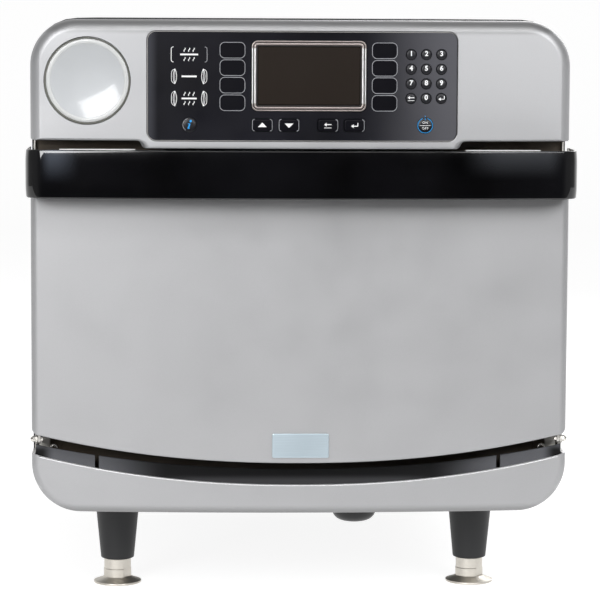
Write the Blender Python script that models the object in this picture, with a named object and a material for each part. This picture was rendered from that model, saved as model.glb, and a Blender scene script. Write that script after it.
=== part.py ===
"""Countertop speed oven with a bowed moulded front and a drop-down door.

Metres, +Z up. The front faces -Y, +X is to the right of someone facing it, and the origin is on
the floor under the middle of the oven, handle and cord gland included.
"""
import math

import bmesh
import bpy
from mathutils import Matrix, Vector

# Body
BODY_WIDTH = 0.5295
BODY_TOP = 0.5855
UNDERSIDE = 0.0996
BODY_DEPTH = 0.650
TOP_CORNER = 0.045
BOTTOM_CORNER = 0.048
SHEET = 0.0012
SEAM = 0.0003
OVERRUN = 0.004

# Bowed front mouldings
FRONT_BOW = 0.016
MOULDING_DEPTH = 0.040
MOULDING_WALL = 0.003
EDGE_ROUND = 0.0055
EDGE_STEPS = 3
INNER_STEPS = 1
HOOD_EDGE_ROUND = 0.008
INNER_ROUND = 0.0025
FRONT_STRIPS = 10
ARCH_POWER = 2.2

# Control hood
TOP_STEP = 0.0012
HOOD_END = 0.4668
HOOD_TONGUE = 0.4593
TONGUE_MARGIN = 0.00745
TONGUE_LEAN = 0.0037
TONGUE_FILLET = 0.0045
HOOD_CORNER = 0.002

# Keypad overlay, display and board
OVERLAY_X = 0.0006
OVERLAY_WIDTH = 0.3021
OVERLAY_LOW = 0.4668
OVERLAY_HIGH = 0.5732
OVERLAY_CORNER = 0.0088
OVERLAY_THICKNESS = 0.003
OVERLAY_PROUD = 0.0004
BEZEL_X = 0.0066
BEZEL_WIDTH = 0.1114
BEZEL_LOW = 0.4961
BEZEL_HIGH = 0.5645
BEZEL_CORNER = 0.0045
BEZEL_RIM = 0.0062
BEZEL_PROUD = 0.0022
BEZEL_DEPTH = 0.0055
BEZEL_SLOPE = 0.0014
WINDOW_SET_BACK = 0.0016
WINDOW_THICKNESS = 0.002
BOARD_SET_BACK = 0.0085
BOARD_THICKNESS = 0.0016
BOARD_MARGIN = 0.008
BOARD_PEG = 0.003
BOARD_BLOCK = 0.012

# Keys
KEY_RADIUS = 0.0055
KEY_PROUD = 0.0012
KEY_TRAVEL = 0.0006
KEY_GAP = 0.0003
KEY_SIDES = 10
PAD_MARGIN = 0.01575
PAD_COLUMNS = 3
PAD_TOP = 0.5513
PAD_COLUMN = 0.01485
PAD_ROW = 0.01417
LOW_KEYS_Z = 0.4824
INFO_KEY_INSET = 0.04095
INFO_KEY_RADIUS = 0.0073
POWER_KEY_INSET = 0.03135
POWER_KEY_RADIUS = 0.0081
NAV_WIDTH = 0.0206
NAV_HEIGHT = 0.0126
NAV_CORNER = 0.003
NAV_X = (-0.0386, -0.0127, 0.0252, 0.0510)

# Round badge
BADGE_SIDE_MARGIN = 0.01315
BADGE_OVERLAY_MARGIN = 0.01615
BADGE_Z = 0.5247
BADGE_BORDER = 0.0036
BADGE_RING_WIDTH = 0.0037
BADGE_SET_BACK = 0.0022
BADGE_THICKNESS = 0.002
BADGE_RING_HEIGHT = 0.0007
LENS_PROUD = 0.0009
LENS_EDGE = 0.0022

# Door
DOOR_TOP = 0.4555
DOOR_FOOT = 0.1499
DOOR_FOOT_RISE = 0.0272
DOOR_DEPTH = 0.034
DOOR_WALL = 0.003
DOOR_FOOT_CORNER = 0.0065
DOOR_TOP_CORNER = 0.002
LINER_FOOT = 0.186
LINER_TOP_LAP = 0.001
LINER_DEPTH = 0.005
CHOKE_STEP = 0.014
CHOKE_MARGIN = 0.008
CHOKE_CORNER = 0.012
GASKET_THICKNESS = 0.0033
GASKET_WIDTH = 0.008
GASKET_LAP = 0.004
PLATE_WIDTH = 0.0555
PLATE_LOW = 0.1557
PLATE_HIGH = 0.1796
PLATE_THICKNESS = 0.0015
PLATE_CORNER = 0.0012

# Handle
HANDLE_LOW = 0.4127
HANDLE_HIGH = 0.4594
HANDLE_REACH = 0.045
HANDLE_THICKNESS = 0.0028
HANDLE_BEND = 0.020
HANDLE_STRIPS = 6
HANDLE_ARM_END = 0.026
HANDLE_EDGE = 0.0012
HANDLE_SHARP_DEG = 64

# Hinge
HINGE_SET_BACK = 0.009
HINGE_Z = 0.171
HINGE_EYE = 0.0046
EYE_ROUND_SHARE = 0.98
BRACKET_THICKNESS = 0.002
ARM_THICKNESS = 0.0025
ARM_GAP = 0.0006
ARM_TOP = 0.27
ARM_WAIST = 0.19
PIN_RADIUS = 0.0025
PIN_HEAD = 0.0032
PIN_HEAD_HEIGHT = 0.0045
PIN_CLEARANCE = 0.0003
TAB_REACH = 0.0235
TAB_DROP = 0.018
NOTCH_CLEARANCE = 0.001

# Lower fascia and drip trough
LIP_MIDDLE = 0.1285
LIP_RISE = 0.0287
TROUGH_TOP = 0.1389
TROUGH_RISE = 0.0255
TROUGH_SET_BACK = 0.018
TROUGH_WALL = 0.0025
TROUGH_FLOOR_LIFT = 0.0065
TROUGH_FLOOR = 0.002
TROUGH_FLOOR_INSET = 0.06475
TROUGH_SLOT_INSET = 0.06255
TROUGH_SLOT_WIDTH = 0.0035
TROUGH_SLOT_FOOT = 0.122

# Front frame and cavity
FRAME_THICKNESS = 0.002
FRAME_FLANGE_INSET = 0.00175
FRAME_FLANGE_SHEET = 0.0015
FRAME_FLANGE_DEPTH = 0.007
FLANGE_CLEARANCE = 0.002
CAVITY_SIDE = 0.06975
CAVITY_HEIGHT = 0.185
REAR_ROOM = 0.2445
CAVITY_FLOOR = 0.225
CAVITY_SHEET = 0.0015
LEDGE_Z = 0.2495
LEDGE_WIDTH = 0.008
LEDGE_THICKNESS = 0.003
LEDGE_END = 0.030

# Jet plates
JET_FRONT = 0.018
JET_TOP_DROP = 0.014
JET_FOOT_LIFT = 0.012
JET_SHEET = 0.0012
JET_HOLE = 0.0065
JET_COLUMNS = 5
JET_ROWS = 4
JET_HOLE_SIDES = 6

# Rack
RACK_WIRE = 0.0024
RACK_FRAME_WIRE = 0.003
RACK_MARGIN = 0.0025
RACK_WIRES = 8
RACK_CORNER = 0.012
WIRE_SIDES = 6

# Blower
SHROUD_RADIUS = 0.088
SHROUD_DEPTH = 0.048
INTAKE_RADIUS = 0.056
IMPELLER_RADIUS = 0.070
IMPELLER_EYE = 0.042
IMPELLER_GAP = 0.004
IMPELLER_WIDTH = 0.036
IMPELLER_SHEET = 0.002
IMPELLER_BLADES = 9
IMPELLER_LEAN_DEG = 34
BLADE_STEPS = 3
BLADE_SHEET = 0.0016
HUB_RADIUS = 0.014
SHAFT_RADIUS = 0.006
MOTOR_RADIUS = 0.045
MOTOR_LENGTH = 0.078
MOTOR_PLATE = 0.002
COIL_RADIUS = 0.0785
COIL_TUBE = 0.0035
COIL_LEAD = 0.012
COIL_OPENING_DEG = 24
COIL_STEPS = 20

# Microwave parts
GUIDE_SIDE_INSET = 0.16475
GUIDE_WIDTH = 0.090
GUIDE_LENGTH = 0.150
GUIDE_HEIGHT = 0.045
GUIDE_SET_BACK = 0.12
GUIDE_SHEET = 0.002
GUIDE_APERTURE = 0.06
MAGNETRON_WIDTH = 0.078
MAGNETRON_LENGTH = 0.095
MAGNETRON_HEIGHT = 0.062
MAGNETRON_FLANGE = 0.003
MAGNETRON_FINS = 5
FIN_PITCH = 0.0113
FIN_SHEET = 0.002
FIN_REACH = 0.008
MAGNETRON_CAP = 0.018
ANTENNA_RADIUS = 0.008
ANTENNA_LENGTH = 0.024
TRANSFORMER_SIDE_INSET = 0.15475
TRANSFORMER_SET_BACK = 0.25
TRANSFORMER_WIDTH = 0.095
TRANSFORMER_LENGTH = 0.080
TRANSFORMER_HEIGHT = 0.078
WINDING_REACH = 0.014
WINDING_INSET = 0.014

# Cooling fan
FAN_SIDE_INSET = 0.14475
FAN_SIZE = 0.100
FAN_LIFT = 0.006
FAN_DEPTH = 0.030
FAN_BORE = 0.046
FAN_HUB = 0.017
FAN_TIP_GAP = 0.002
FAN_BLADES = 7
FAN_BLADE_SHEET = 0.002
FAN_BLADE_PITCH_DEG = 38
FAN_CHORD_SHARE = 0.8
FAN_STRUT = 0.005
FAN_ROTOR_DEPTH = 0.020
FAN_CORNER = 0.006
FAN_AXLE = 0.003

# Rear panel, base, vents
VENT_SLOT_WIDTH = 0.004
REAR_VENTS = 6
REAR_VENT_LENGTH = 0.072
REAR_VENT_PITCH = 0.013
SIDE_VENTS = 5
SIDE_VENT_PITCH = 0.014
SIDE_VENT_LOW = 0.264
SIDE_VENT_LENGTH = 0.060
SIDE_VENT_INSETS = (0.25, 0.15)
BASE_SIDE_INSET = 0.05975
BASE_FLANGE = 0.010
BASE_VENTS = 5
BASE_VENT_LENGTH = 0.090
BASE_VENT_PITCH = 0.014
BASE_VENT_SET_BACK = 0.14

# Legs, feet, knob
LEG_SIDE_INSET = 0.08095
LEG_SET_BACK = 0.143
LEG_REAR_INSET = 0.050
LEG_TOP_RADIUS = 0.0241
LEG_FOOT_RADIUS = 0.0171
LEG_FOOT_Z = 0.0265
LEG_EDGE = 0.002
LEG_SIDES = 16
STEM_RADIUS = 0.006
STEM_TOP = 0.060
STEM_ROOM = 0.004
COLLAR_RADIUS = 0.0139
NUT_RADIUS = 0.0148
NUT_TOP = 0.0155
FLARE_TOP = 0.0068
FLARE_RADIUS = 0.0246
FLARE_EDGE = 0.0022
FLAT_DEPTH = 0.0018
FLAT_WIDTH = 0.009
KNOB_X = 0.0587
KNOB_SET_BACK = 0.080
KNOB_RADIUS = 0.0235
KNOB_HEIGHT = 0.0236
KNOB_POWER = 3.3
KNOB_STEPS = 7
KNOB_NECK = 0.005
KNOB_NECK_TOP = 0.006

# Fasteners and cord gland
SCREW_HEAD = 0.0038
SCREW_HEAD_HEIGHT = 0.0022
SCREW_SIDES = 8
SIDE_SCREW_SET_BACK = 0.052
SIDE_SCREWS_Z = (0.200, 0.346, 0.525)
REAR_SCREW_INSET = 0.02975
REAR_SCREWS_Z = (0.165, 0.345, 0.525)
TAB_SCREW_INSET = 0.0164
TAB_SCREW_DROP = 0.0135
HANDLE_SCREW_INSET = 0.016
HANDLE_SCREW_BACK = 0.014
GLAND_SIDE_INSET = 0.09975
GLAND_Z = 0.150
GLAND_BODY = 0.012
GLAND_FLANGE = 0.018
GLAND_FLANGE_DEPTH = 0.005
GLAND_BORE = 0.0065
GLAND_REACH = 0.015
GLAND_NOSE = 0.0095

ARC_STEP_DEG = 15
COARSE_STEP_DEG = 30
DISC_SIDES = 30
ROUND_SIDES = 20
SHARP_DEG = 32
STEEL = ((0.62, 0.61, 0.58), 0.32, 1.0)
BRIGHT = ((0.75, 0.75, 0.74), 0.15, 1.0)
SILVER = ((0.50, 0.51, 0.52), 0.38, 0.35)
DARK_PAINT = ((0.09, 0.09, 0.095), 0.45, 0.0)
BLACK_GLOSS = ((0.006, 0.006, 0.007), 0.12, 0.0)
BLACK_MATT = ((0.02, 0.021, 0.024), 0.5, 0.0)
GREY_PLASTIC = ((0.055, 0.056, 0.060), 0.6, 0.0)
CLEAR = ((0.85, 0.86, 0.87), 0.05, 0.0)
SMOKED = ((0.022, 0.018, 0.014), 0.1, 0.0)
GREEN_BOARD = ((0.02, 0.12, 0.05), 0.5, 0.0)
RUBBER = ((0.05, 0.05, 0.05), 0.8, 0.0)

HALF = BODY_WIDTH / 2
FRONT = (FRONT_BOW + HANDLE_REACH - BODY_DEPTH - GLAND_REACH) / 2
REAR = FRONT + BODY_DEPTH
CASING_FRONT = FRONT + MOULDING_DEPTH + SEAM
HOOD_TOP = BODY_TOP - TOP_STEP
OVERLAY_LEFT = OVERLAY_X - OVERLAY_WIDTH / 2
OVERLAY_RIGHT = OVERLAY_X + OVERLAY_WIDTH / 2
TONGUE_TOP_HALF = OVERLAY_WIDTH / 2 + TONGUE_MARGIN
TONGUE_FOOT_HALF = TONGUE_TOP_HALF - TONGUE_LEAN
PAD_LEFT = OVERLAY_RIGHT - PAD_MARGIN - (PAD_COLUMNS - 1) * PAD_COLUMN
INFO_KEY_X = OVERLAY_LEFT + INFO_KEY_INSET
POWER_KEY_X = OVERLAY_RIGHT - POWER_KEY_INSET
BADGE_RADIUS = (HALF + OVERLAY_LEFT - BADGE_SIDE_MARGIN - BADGE_OVERLAY_MARGIN) / 2
BADGE_X = BADGE_SIDE_MARGIN + BADGE_RADIUS - HALF
BADGE_RING = BADGE_RADIUS - BADGE_BORDER
BADGE_FACE = BADGE_RING - BADGE_RING_WIDTH
LINER_BACK = FRONT + DOOR_DEPTH + SEAM + LINER_DEPTH
FRAME_FRONT = LINER_BACK + GASKET_THICKNESS + 2 * SEAM
FRAME_BACK = FRAME_FRONT + FRAME_THICKNESS
CAVITY_FRONT = FRAME_BACK + SEAM
CAVITY_REAR = REAR - REAR_ROOM
CAVITY_WIDTH = BODY_WIDTH - 2 * CAVITY_SIDE
CAVITY_TOP = CAVITY_FLOOR + CAVITY_HEIGHT
CAVITY_BACK = CAVITY_REAR + CAVITY_SHEET
BLOWER_Z = CAVITY_FLOOR + CAVITY_HEIGHT / 2
SHROUD_END = CAVITY_BACK + SHROUD_DEPTH
BASE_TOP = UNDERSIDE + SHEET
HINGE_Y = FRONT + HINGE_SET_BACK
FRAME_FLANGE_X = HALF - FRAME_FLANGE_INSET
BRACKET_OUT = FRAME_FLANGE_X - FRAME_FLANGE_SHEET - SEAM
ARM_OUT = BRACKET_OUT - BRACKET_THICKNESS - ARM_GAP
LINER_HALF = ARM_OUT - ARM_THICKNESS / 2
BOARD_FRONT = FRONT - FRONT_BOW + OVERLAY_THICKNESS + BOARD_SET_BACK
TAB_SCREW_X = BRACKET_OUT - TAB_SCREW_INSET
TROUGH_FLOOR_HALF = HALF - TROUGH_FLOOR_INSET
TROUGH_SLOT_X = HALF - TROUGH_SLOT_INSET
BASE_HALF = HALF - BASE_SIDE_INSET
LEG_X = HALF - LEG_SIDE_INSET
REAR_SCREW_X = HALF - REAR_SCREW_INSET
FAN_X = FAN_SIDE_INSET - HALF
TRANSFORMER_X = HALF - TRANSFORMER_SIDE_INSET
GUIDE_X = HALF - GUIDE_SIDE_INSET
GLAND_X = HALF - GLAND_SIDE_INSET


def clear_scene():
    """Remove whatever the scene holds."""
    for item in list(bpy.data.objects):
        bpy.data.objects.remove(item, do_unlink=True)


def look_material(name, look):
    """Make a sub-part's own material from its colour, roughness and metallic value."""
    colour, roughness, metallic = look
    material = bpy.data.materials.new(name)
    material.use_nodes = True
    shader = material.node_tree.nodes["Principled BSDF"]
    shader.inputs["Base Color"].default_value = (*colour, 1)
    shader.inputs["Roughness"].default_value = roughness
    shader.inputs["Metallic"].default_value = metallic
    return material


def add_object(name, shape, origin):
    """Put a finished shape into the scene with its origin at the given place."""
    bmesh.ops.recalc_face_normals(shape, faces=shape.faces)
    bmesh.ops.translate(shape, verts=shape.verts, vec=-Vector(origin))
    mesh = bpy.data.meshes.new(name)
    shape.to_mesh(mesh)
    shape.free()
    mesh.shade_smooth()
    mesh.set_sharp_from_angle(angle=math.radians(SHARP_DEG))
    item = bpy.data.objects.new(name, mesh)
    item.location = origin
    bpy.context.scene.collection.objects.link(item)
    return item


def add_part(name, shape, look, origin=(0, 0, 0)):
    """Add a sub-part with its own material."""
    part = add_object(name, shape, origin)
    part.data.materials.append(look_material(name, look))
    return part


def combine(part, shape, operation):
    """Cut a hidden tool shape out of a part, or join it on."""
    tool = add_object(f"{part.name}_tool", shape, (0, 0, 0))
    tool.hide_render = True
    tool.display_type = "WIRE"
    modifier = part.modifiers.new("shape", "BOOLEAN")
    modifier.object = tool
    modifier.operation = operation
    modifier.solver = "EXACT"


def cut(part, shape):
    """Cut a shape out of a part."""
    combine(part, shape, "DIFFERENCE")


def join(part, shape):
    """Join a shape onto a part."""
    combine(part, shape, "UNION")


def filleted(corners, arc_step=ARC_STEP_DEG):
    """Points of an outline whose corners are given as (across, up, fillet radius)."""
    points = []
    for index, (across, up, radius) in enumerate(corners):
        here = Vector((across, up))
        if radius == 0:
            points.append(here)
            continue
        before = (Vector(corners[index - 1][:2]) - here).normalized()
        after = (Vector(corners[(index + 1) % len(corners)][:2]) - here).normalized()
        half_angle = before.angle(after) / 2
        centre = here + (before + after).normalized() * radius / math.sin(half_angle)
        start = here + before * radius / math.tan(half_angle) - centre
        end = here + after * radius / math.tan(half_angle) - centre
        first = math.atan2(start.y, start.x)
        sweep = math.remainder(math.atan2(end.y, end.x) - first, math.tau)
        steps = max(2, round(abs(math.degrees(sweep)) / arc_step))
        for step in range(steps + 1):
            angle = first + sweep * step / steps
            points.append(centre + radius * Vector((math.cos(angle), math.sin(angle))))
    return points


def rectangle(left, right, low, high, radius=0):
    """Corners of a rectangle with round corners."""
    return [(left, low, radius), (right, low, radius), (right, high, radius), (left, high, radius)]


def circle(across, up, radius, sides):
    """Corners of a circle."""
    turns = [math.tau * side / sides for side in range(sides)]
    return [(across + radius * math.cos(turn), up + radius * math.sin(turn), 0) for turn in turns]


def inset(corners, distance, keep_up=False, keep_down=False):
    """Move corners inwards; keep_up or keep_down leaves an upper or lower edge at its height."""
    moved = []
    for index, (across, up, radius) in enumerate(corners):
        here = Vector((across, up))
        before = (here - Vector(corners[index - 1][:2])).normalized()
        after = (Vector(corners[(index + 1) % len(corners)][:2]) - here).normalized()
        first = Vector((before.y, -before.x))
        second = Vector((after.y, -after.x))
        step = -distance * (first + second) / (1 + first.dot(second))
        if (keep_up and step.y < 0) or (keep_down and step.y > 0):
            step.y = 0
        if radius > 0:
            turn = math.copysign(distance, before.cross(after))
            radius = max(radius - turn, SEAM)
        moved.append((across + step.x, up + step.y, radius))
    return moved


PLANES = {
    "X": lambda along, across, up: (along, across, up),
    "Y": lambda along, across, up: (across, along, up),
    "Z": lambda along, across, up: (across, up, along),
}


def loft(rings):
    """Closed solid through rings of equally many points, with both end rings filled."""
    shape = bmesh.new()
    loops = [[shape.verts.new(point) for point in ring] for ring in rings]
    for low, high in zip(loops, loops[1:]):
        for index in range(len(low)):
            shape.faces.new((low[index - 1], low[index], high[index], high[index - 1]))
    shape.faces.new(loops[0])
    shape.faces.new(loops[-1])
    return shape


def prism(corners, axis, low, high, arc_step=ARC_STEP_DEG):
    """Outline extruded along an axis; on X it is (y, z), on Y (x, z) and on Z (x, y)."""
    place = PLANES[axis]
    return loft([[place(level, *point) for point in filleted(corners, arc_step)] for level in (low, high)])


def stepped(levels, arc_step=ARC_STEP_DEG):
    """Solid along Y through outlines given as (corners, depth)."""
    return loft([[(x, depth, z) for x, z in filleted(corners, arc_step)] for corners, depth in levels])


def block(low, high):
    """Box between two corners."""
    return prism(rectangle(low[0], high[0], low[2], high[2]), "Y", low[1], high[1])


def turned(profile, centre, axis, sides=LEG_SIDES):
    """Solid turned about an axis through a centre, from (radius, height) points along its side.

    A profile that starts and ends on the axis is a solid body. Any other profile is a closed loop.
    """
    shape = bmesh.new()
    place = PLANES[axis]
    solid = profile[0][0] == 0
    rings = []
    for radius, height in profile:
        if radius == 0:
            rings.append([shape.verts.new(Vector(centre) + Vector(place(height, 0, 0)))] * sides)
            continue
        spots = [place(height, across, up) for across, up, _ in circle(0, 0, radius, sides)]
        rings.append([shape.verts.new(Vector(centre) + Vector(spot)) for spot in spots])
    pairs = zip(rings, rings[1:] if solid else rings[1:] + rings[:1])
    for low, high in pairs:
        for index in range(sides):
            corners = dict.fromkeys((low[index - 1], low[index], high[index], high[index - 1]))
            shape.faces.new(tuple(corners))
    return shape


def rod(centre, axis, radius, low, high, sides=LEG_SIDES):
    """Plain cylinder along an axis, between two distances from its centre."""
    return turned([(0, low), (radius, low), (radius, high), (0, high)], centre, axis, sides)


def together(shapes):
    """Several separate shapes as one."""
    whole = bmesh.new()
    for shape in shapes:
        mesh = bpy.data.meshes.new("piece")
        bmesh.ops.recalc_face_normals(shape, faces=shape.faces)
        shape.to_mesh(mesh)
        shape.free()
        whole.from_mesh(mesh)
        bpy.data.meshes.remove(mesh)
    return whole


def screw(centre, axis, side):
    """Pan head of a screw whose seat is at the centre and whose crown points along the axis."""
    height = side * SCREW_HEAD_HEIGHT
    profile = [(0, -height / 2), (SCREW_HEAD, -height / 2), (SCREW_HEAD, height / 2),
               (SCREW_HEAD * 2 / 3, height), (0, height)]
    return turned(profile, centre, axis, SCREW_SIDES)


def strip_edges():
    """Places across the front where its facets meet."""
    return [-HALF + BODY_WIDTH * strip / FRONT_STRIPS for strip in range(FRONT_STRIPS + 1)]


def bow(x):
    """How far the front stands forward of its corners at x, along its facets."""
    width = BODY_WIDTH / FRONT_STRIPS
    strip = min(max(math.floor((x + HALF) / width), 0), FRONT_STRIPS - 1)
    left = -HALF + width * strip
    share = (x - left) / width
    ends = [FRONT_BOW * (1 - (edge / HALF) ** 2) for edge in (left, left + width)]
    return ends[0] + (ends[1] - ends[0]) * share


def face(x):
    """Depth of the front's surface at x."""
    return FRONT - bow(x)


def bowed(shape, flat_back=None):
    """Bend a shape to the front's bow; what lies at flat_back stays flat."""
    for edge in strip_edges()[1:-1]:
        parts = list(shape.verts) + list(shape.edges) + list(shape.faces)
        bmesh.ops.bisect_plane(shape, geom=parts, dist=SEAM / 100, plane_co=(edge, 0, 0), plane_no=(1, 0, 0))
    for vert in shape.verts:
        if flat_back is None or vert.co.y < flat_back - SEAM:
            vert.co.y -= bow(vert.co.x)
    return shape


def moulding(corners, front, back, edge, steps, keep_up=False, keep_down=False):
    """Bowed moulding with a rounded front edge and a flat back."""
    levels = [(corners, back)]
    for step in range(steps + 1):
        turn = math.pi / 2 * step / steps
        ring = inset(corners, edge * (1 - math.cos(turn)), keep_up, keep_down)
        levels.append((ring, front + edge * (1 - math.sin(turn))))
    return bowed(stepped(levels), back)


def arched(x, middle, rise):
    """Height at x of an edge that rises from the middle towards the body's sides."""
    return middle + rise * abs(x / HALF) ** ARCH_POWER


def body_outline(step=0):
    """Cross-section of the body, seen from the front, moved inwards by a step."""
    corners = [(-HALF, UNDERSIDE, BOTTOM_CORNER), (HALF, UNDERSIDE, BOTTOM_CORNER),
               (HALF, BODY_TOP, TOP_CORNER), (-HALF, BODY_TOP, TOP_CORNER)]
    return inset(corners, step)


def casing_outline():
    """Bent sheet open at the middle of its underside."""
    outer = [(-BASE_HALF, UNDERSIDE, 0), (-HALF, UNDERSIDE, BOTTOM_CORNER), (-HALF, BODY_TOP, TOP_CORNER),
             (HALF, BODY_TOP, TOP_CORNER), (HALF, UNDERSIDE, BOTTOM_CORNER), (BASE_HALF, UNDERSIDE, 0)]
    side = HALF - SHEET
    inner = [(BASE_HALF, BASE_TOP, 0), (side, BASE_TOP, BOTTOM_CORNER - SHEET),
             (side, BODY_TOP - SHEET, TOP_CORNER - SHEET), (-side, BODY_TOP - SHEET, TOP_CORNER - SHEET),
             (-side, BASE_TOP, BOTTOM_CORNER - SHEET), (-BASE_HALF, BASE_TOP, 0)]
    return outer + inner


def casing_wrap():
    """Top and sides in one bent sheet, with vent slots through both sides."""
    part = add_part("casing_wrap", prism(casing_outline(), "Y", CASING_FRONT, REAR), DARK_PAINT)
    slots = []
    for inset_back in SIDE_VENT_INSETS:
        for row in range(SIDE_VENTS):
            low = SIDE_VENT_LOW + SIDE_VENT_PITCH * row - VENT_SLOT_WIDTH / 2
            near = REAR - inset_back
            slots.append(block((-HALF - OVERRUN, near, low),
                               (HALF + OVERRUN, near + SIDE_VENT_LENGTH, low + VENT_SLOT_WIDTH)))
    cut(part, together(slots))
    join(part, together([screw((side * HALF, FRONT + SIDE_SCREW_SET_BACK, z), "X", side)
                         for side in (-1, 1) for z in SIDE_SCREWS_Z]))


def rear_panel():
    """Flat rear panel with a vent grille behind the cooling fan and a hole for the cord gland."""
    outline = body_outline(SHEET + SEAM)
    part = add_part("rear_panel", prism(outline, "Y", REAR - SHEET, REAR), DARK_PAINT)
    openings = [rod((GLAND_X, 0, GLAND_Z), "Y", GLAND_BODY + SEAM, REAR - SHEET - OVERRUN, REAR + OVERRUN)]
    for row in range(REAR_VENTS):
        middle = fan_height() + REAR_VENT_PITCH * (row - (REAR_VENTS - 1) / 2)
        openings.append(block(
            (FAN_X - REAR_VENT_LENGTH / 2, REAR - SHEET - OVERRUN, middle - VENT_SLOT_WIDTH / 2),
            (FAN_X + REAR_VENT_LENGTH / 2, REAR + OVERRUN, middle + VENT_SLOT_WIDTH / 2)))
    cut(part, together(openings))
    join(part, together([screw((side * REAR_SCREW_X, REAR, z), "Y", 1)
                         for side in (-1, 1) for z in REAR_SCREWS_Z]))


def base_pan():
    """Base sheet between the casing's lower edges, turned up at its front and rear."""
    near = CASING_FRONT
    far = REAR - SHEET - SEAM
    high = UNDERSIDE + BASE_FLANGE
    profile = [(near, UNDERSIDE), (far, UNDERSIDE), (far, high), (far - SHEET, high),
               (far - SHEET, BASE_TOP), (near + SHEET, BASE_TOP), (near + SHEET, high), (near, high)]
    half = BASE_HALF - SEAM
    part = add_part("base_pan", prism([(*point, 0) for point in profile], "X", -half, half), DARK_PAINT)
    openings = [rod((KNOB_X, FRONT + KNOB_SET_BACK, 0), "Z", KNOB_NECK + SEAM, UNDERSIDE - OVERRUN,
                    BASE_TOP + OVERRUN)]
    start = FRONT + BASE_VENT_SET_BACK
    for column in range(BASE_VENTS):
        middle = BASE_VENT_PITCH * (column - (BASE_VENTS - 1) / 2)
        openings.append(block((middle - VENT_SLOT_WIDTH / 2, start, UNDERSIDE - OVERRUN),
                              (middle + VENT_SLOT_WIDTH / 2, start + BASE_VENT_LENGTH, BASE_TOP + OVERRUN)))
    cut(part, together(openings))


def hood_outline():
    """Front of the control hood: round top corners and a deeper tongue in the middle."""
    return [
        (-HALF, HOOD_END, HOOD_CORNER), (-TONGUE_TOP_HALF, HOOD_END, TONGUE_FILLET),
        (-TONGUE_FOOT_HALF, HOOD_TONGUE, TONGUE_FILLET), (TONGUE_FOOT_HALF, HOOD_TONGUE, TONGUE_FILLET),
        (TONGUE_TOP_HALF, HOOD_END, TONGUE_FILLET), (HALF, HOOD_END, HOOD_CORNER),
        (HALF, HOOD_TOP, TOP_CORNER), (-HALF, HOOD_TOP, TOP_CORNER),
    ]


def overlay_outline(margin=0):
    """Outline of the keypad overlay, or of its opening when a margin is given."""
    half = OVERLAY_WIDTH / 2 + margin
    return rectangle(OVERLAY_X - half, OVERLAY_X + half, OVERLAY_LOW - margin, OVERLAY_HIGH + margin,
                     OVERLAY_CORNER + margin)


def badge_place(shape):
    """Turn a shape made about the Y axis square to the bowed face at the badge."""
    slope = math.atan((face(BADGE_X + BADGE_RADIUS) - face(BADGE_X - BADGE_RADIUS)) / (2 * BADGE_RADIUS))
    place = Matrix.Translation((BADGE_X, face(BADGE_X), BADGE_Z)) @ Matrix.Rotation(slope, 4, "Z")
    bmesh.ops.transform(shape, matrix=place, verts=shape.verts)
    return shape


def control_hood():
    """Hollow hood, open at the back, with openings for the overlay and the badge."""
    outline = hood_outline()
    back = FRONT + MOULDING_DEPTH
    shell = moulding(outline, FRONT, back, HOOD_EDGE_ROUND, EDGE_STEPS, keep_down=True)
    part = add_part("control_hood", shell, SILVER)
    room = inset(outline, MOULDING_WALL)
    cut(part, moulding(room, FRONT + MOULDING_WALL, back + OVERRUN, INNER_ROUND, INNER_STEPS))
    near = FRONT - FRONT_BOW - OVERRUN
    far = FRONT + MOULDING_WALL + OVERRUN
    opening = prism(overlay_outline(SEAM), "Y", near, far)
    hole = rod((0, 0, 0), "Y", BADGE_RADIUS + SEAM, -OVERRUN, MOULDING_WALL + OVERRUN, DISC_SIDES)
    cut(part, together([opening, badge_place(hole)]))


def key_plan():
    """Every moving key: name, x, z, half width, half height and corner radius."""
    plan = []
    names = ("key_1", "key_2", "key_3", "key_4", "key_5", "key_6", "key_7", "key_8", "key_9",
             "key_back", "key_0", "key_enter")
    for index, name in enumerate(names):
        x = PAD_LEFT + PAD_COLUMN * (index % PAD_COLUMNS)
        z = PAD_TOP - PAD_ROW * (index // PAD_COLUMNS)
        plan.append((name, x, z, KEY_RADIUS, KEY_RADIUS, None))
    plan.append(("info_key", INFO_KEY_X, LOW_KEYS_Z, INFO_KEY_RADIUS, INFO_KEY_RADIUS, None))
    plan.append(("power_key", POWER_KEY_X, LOW_KEYS_Z, POWER_KEY_RADIUS, POWER_KEY_RADIUS, None))
    for name, x in zip(("nav_up_key", "nav_down_key", "nav_back_key", "nav_enter_key"), NAV_X):
        plan.append((name, x, LOW_KEYS_Z, NAV_WIDTH / 2, NAV_HEIGHT / 2, NAV_CORNER))
    return plan


def key_outline(key, margin=0):
    """Outline of a key, or of its hole when a margin is given."""
    _, x, z, half_width, half_height, corner = key
    if corner is None:
        return circle(x, z, half_width + margin, KEY_SIDES)
    wide, high = half_width + margin, half_height + margin
    return rectangle(x - wide, x + wide, z - high, z + high, corner + margin)


def keypad_overlay():
    """Bowed black panel with holes for the keys and the display bezel."""
    near = FRONT - OVERLAY_PROUD
    panel = bowed(prism(overlay_outline(), "Y", near, near + OVERLAY_THICKNESS))
    part = add_part("keypad_overlay", panel, BLACK_MATT)
    low = FRONT - FRONT_BOW - OVERRUN
    high = FRONT + OVERLAY_THICKNESS + OVERRUN
    holes = [prism(key_outline(key, KEY_GAP), "Y", low, high, COARSE_STEP_DEG) for key in key_plan()]
    holes.append(prism(bezel_outline(SEAM), "Y", low, high))
    cut(part, together(holes))


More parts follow.
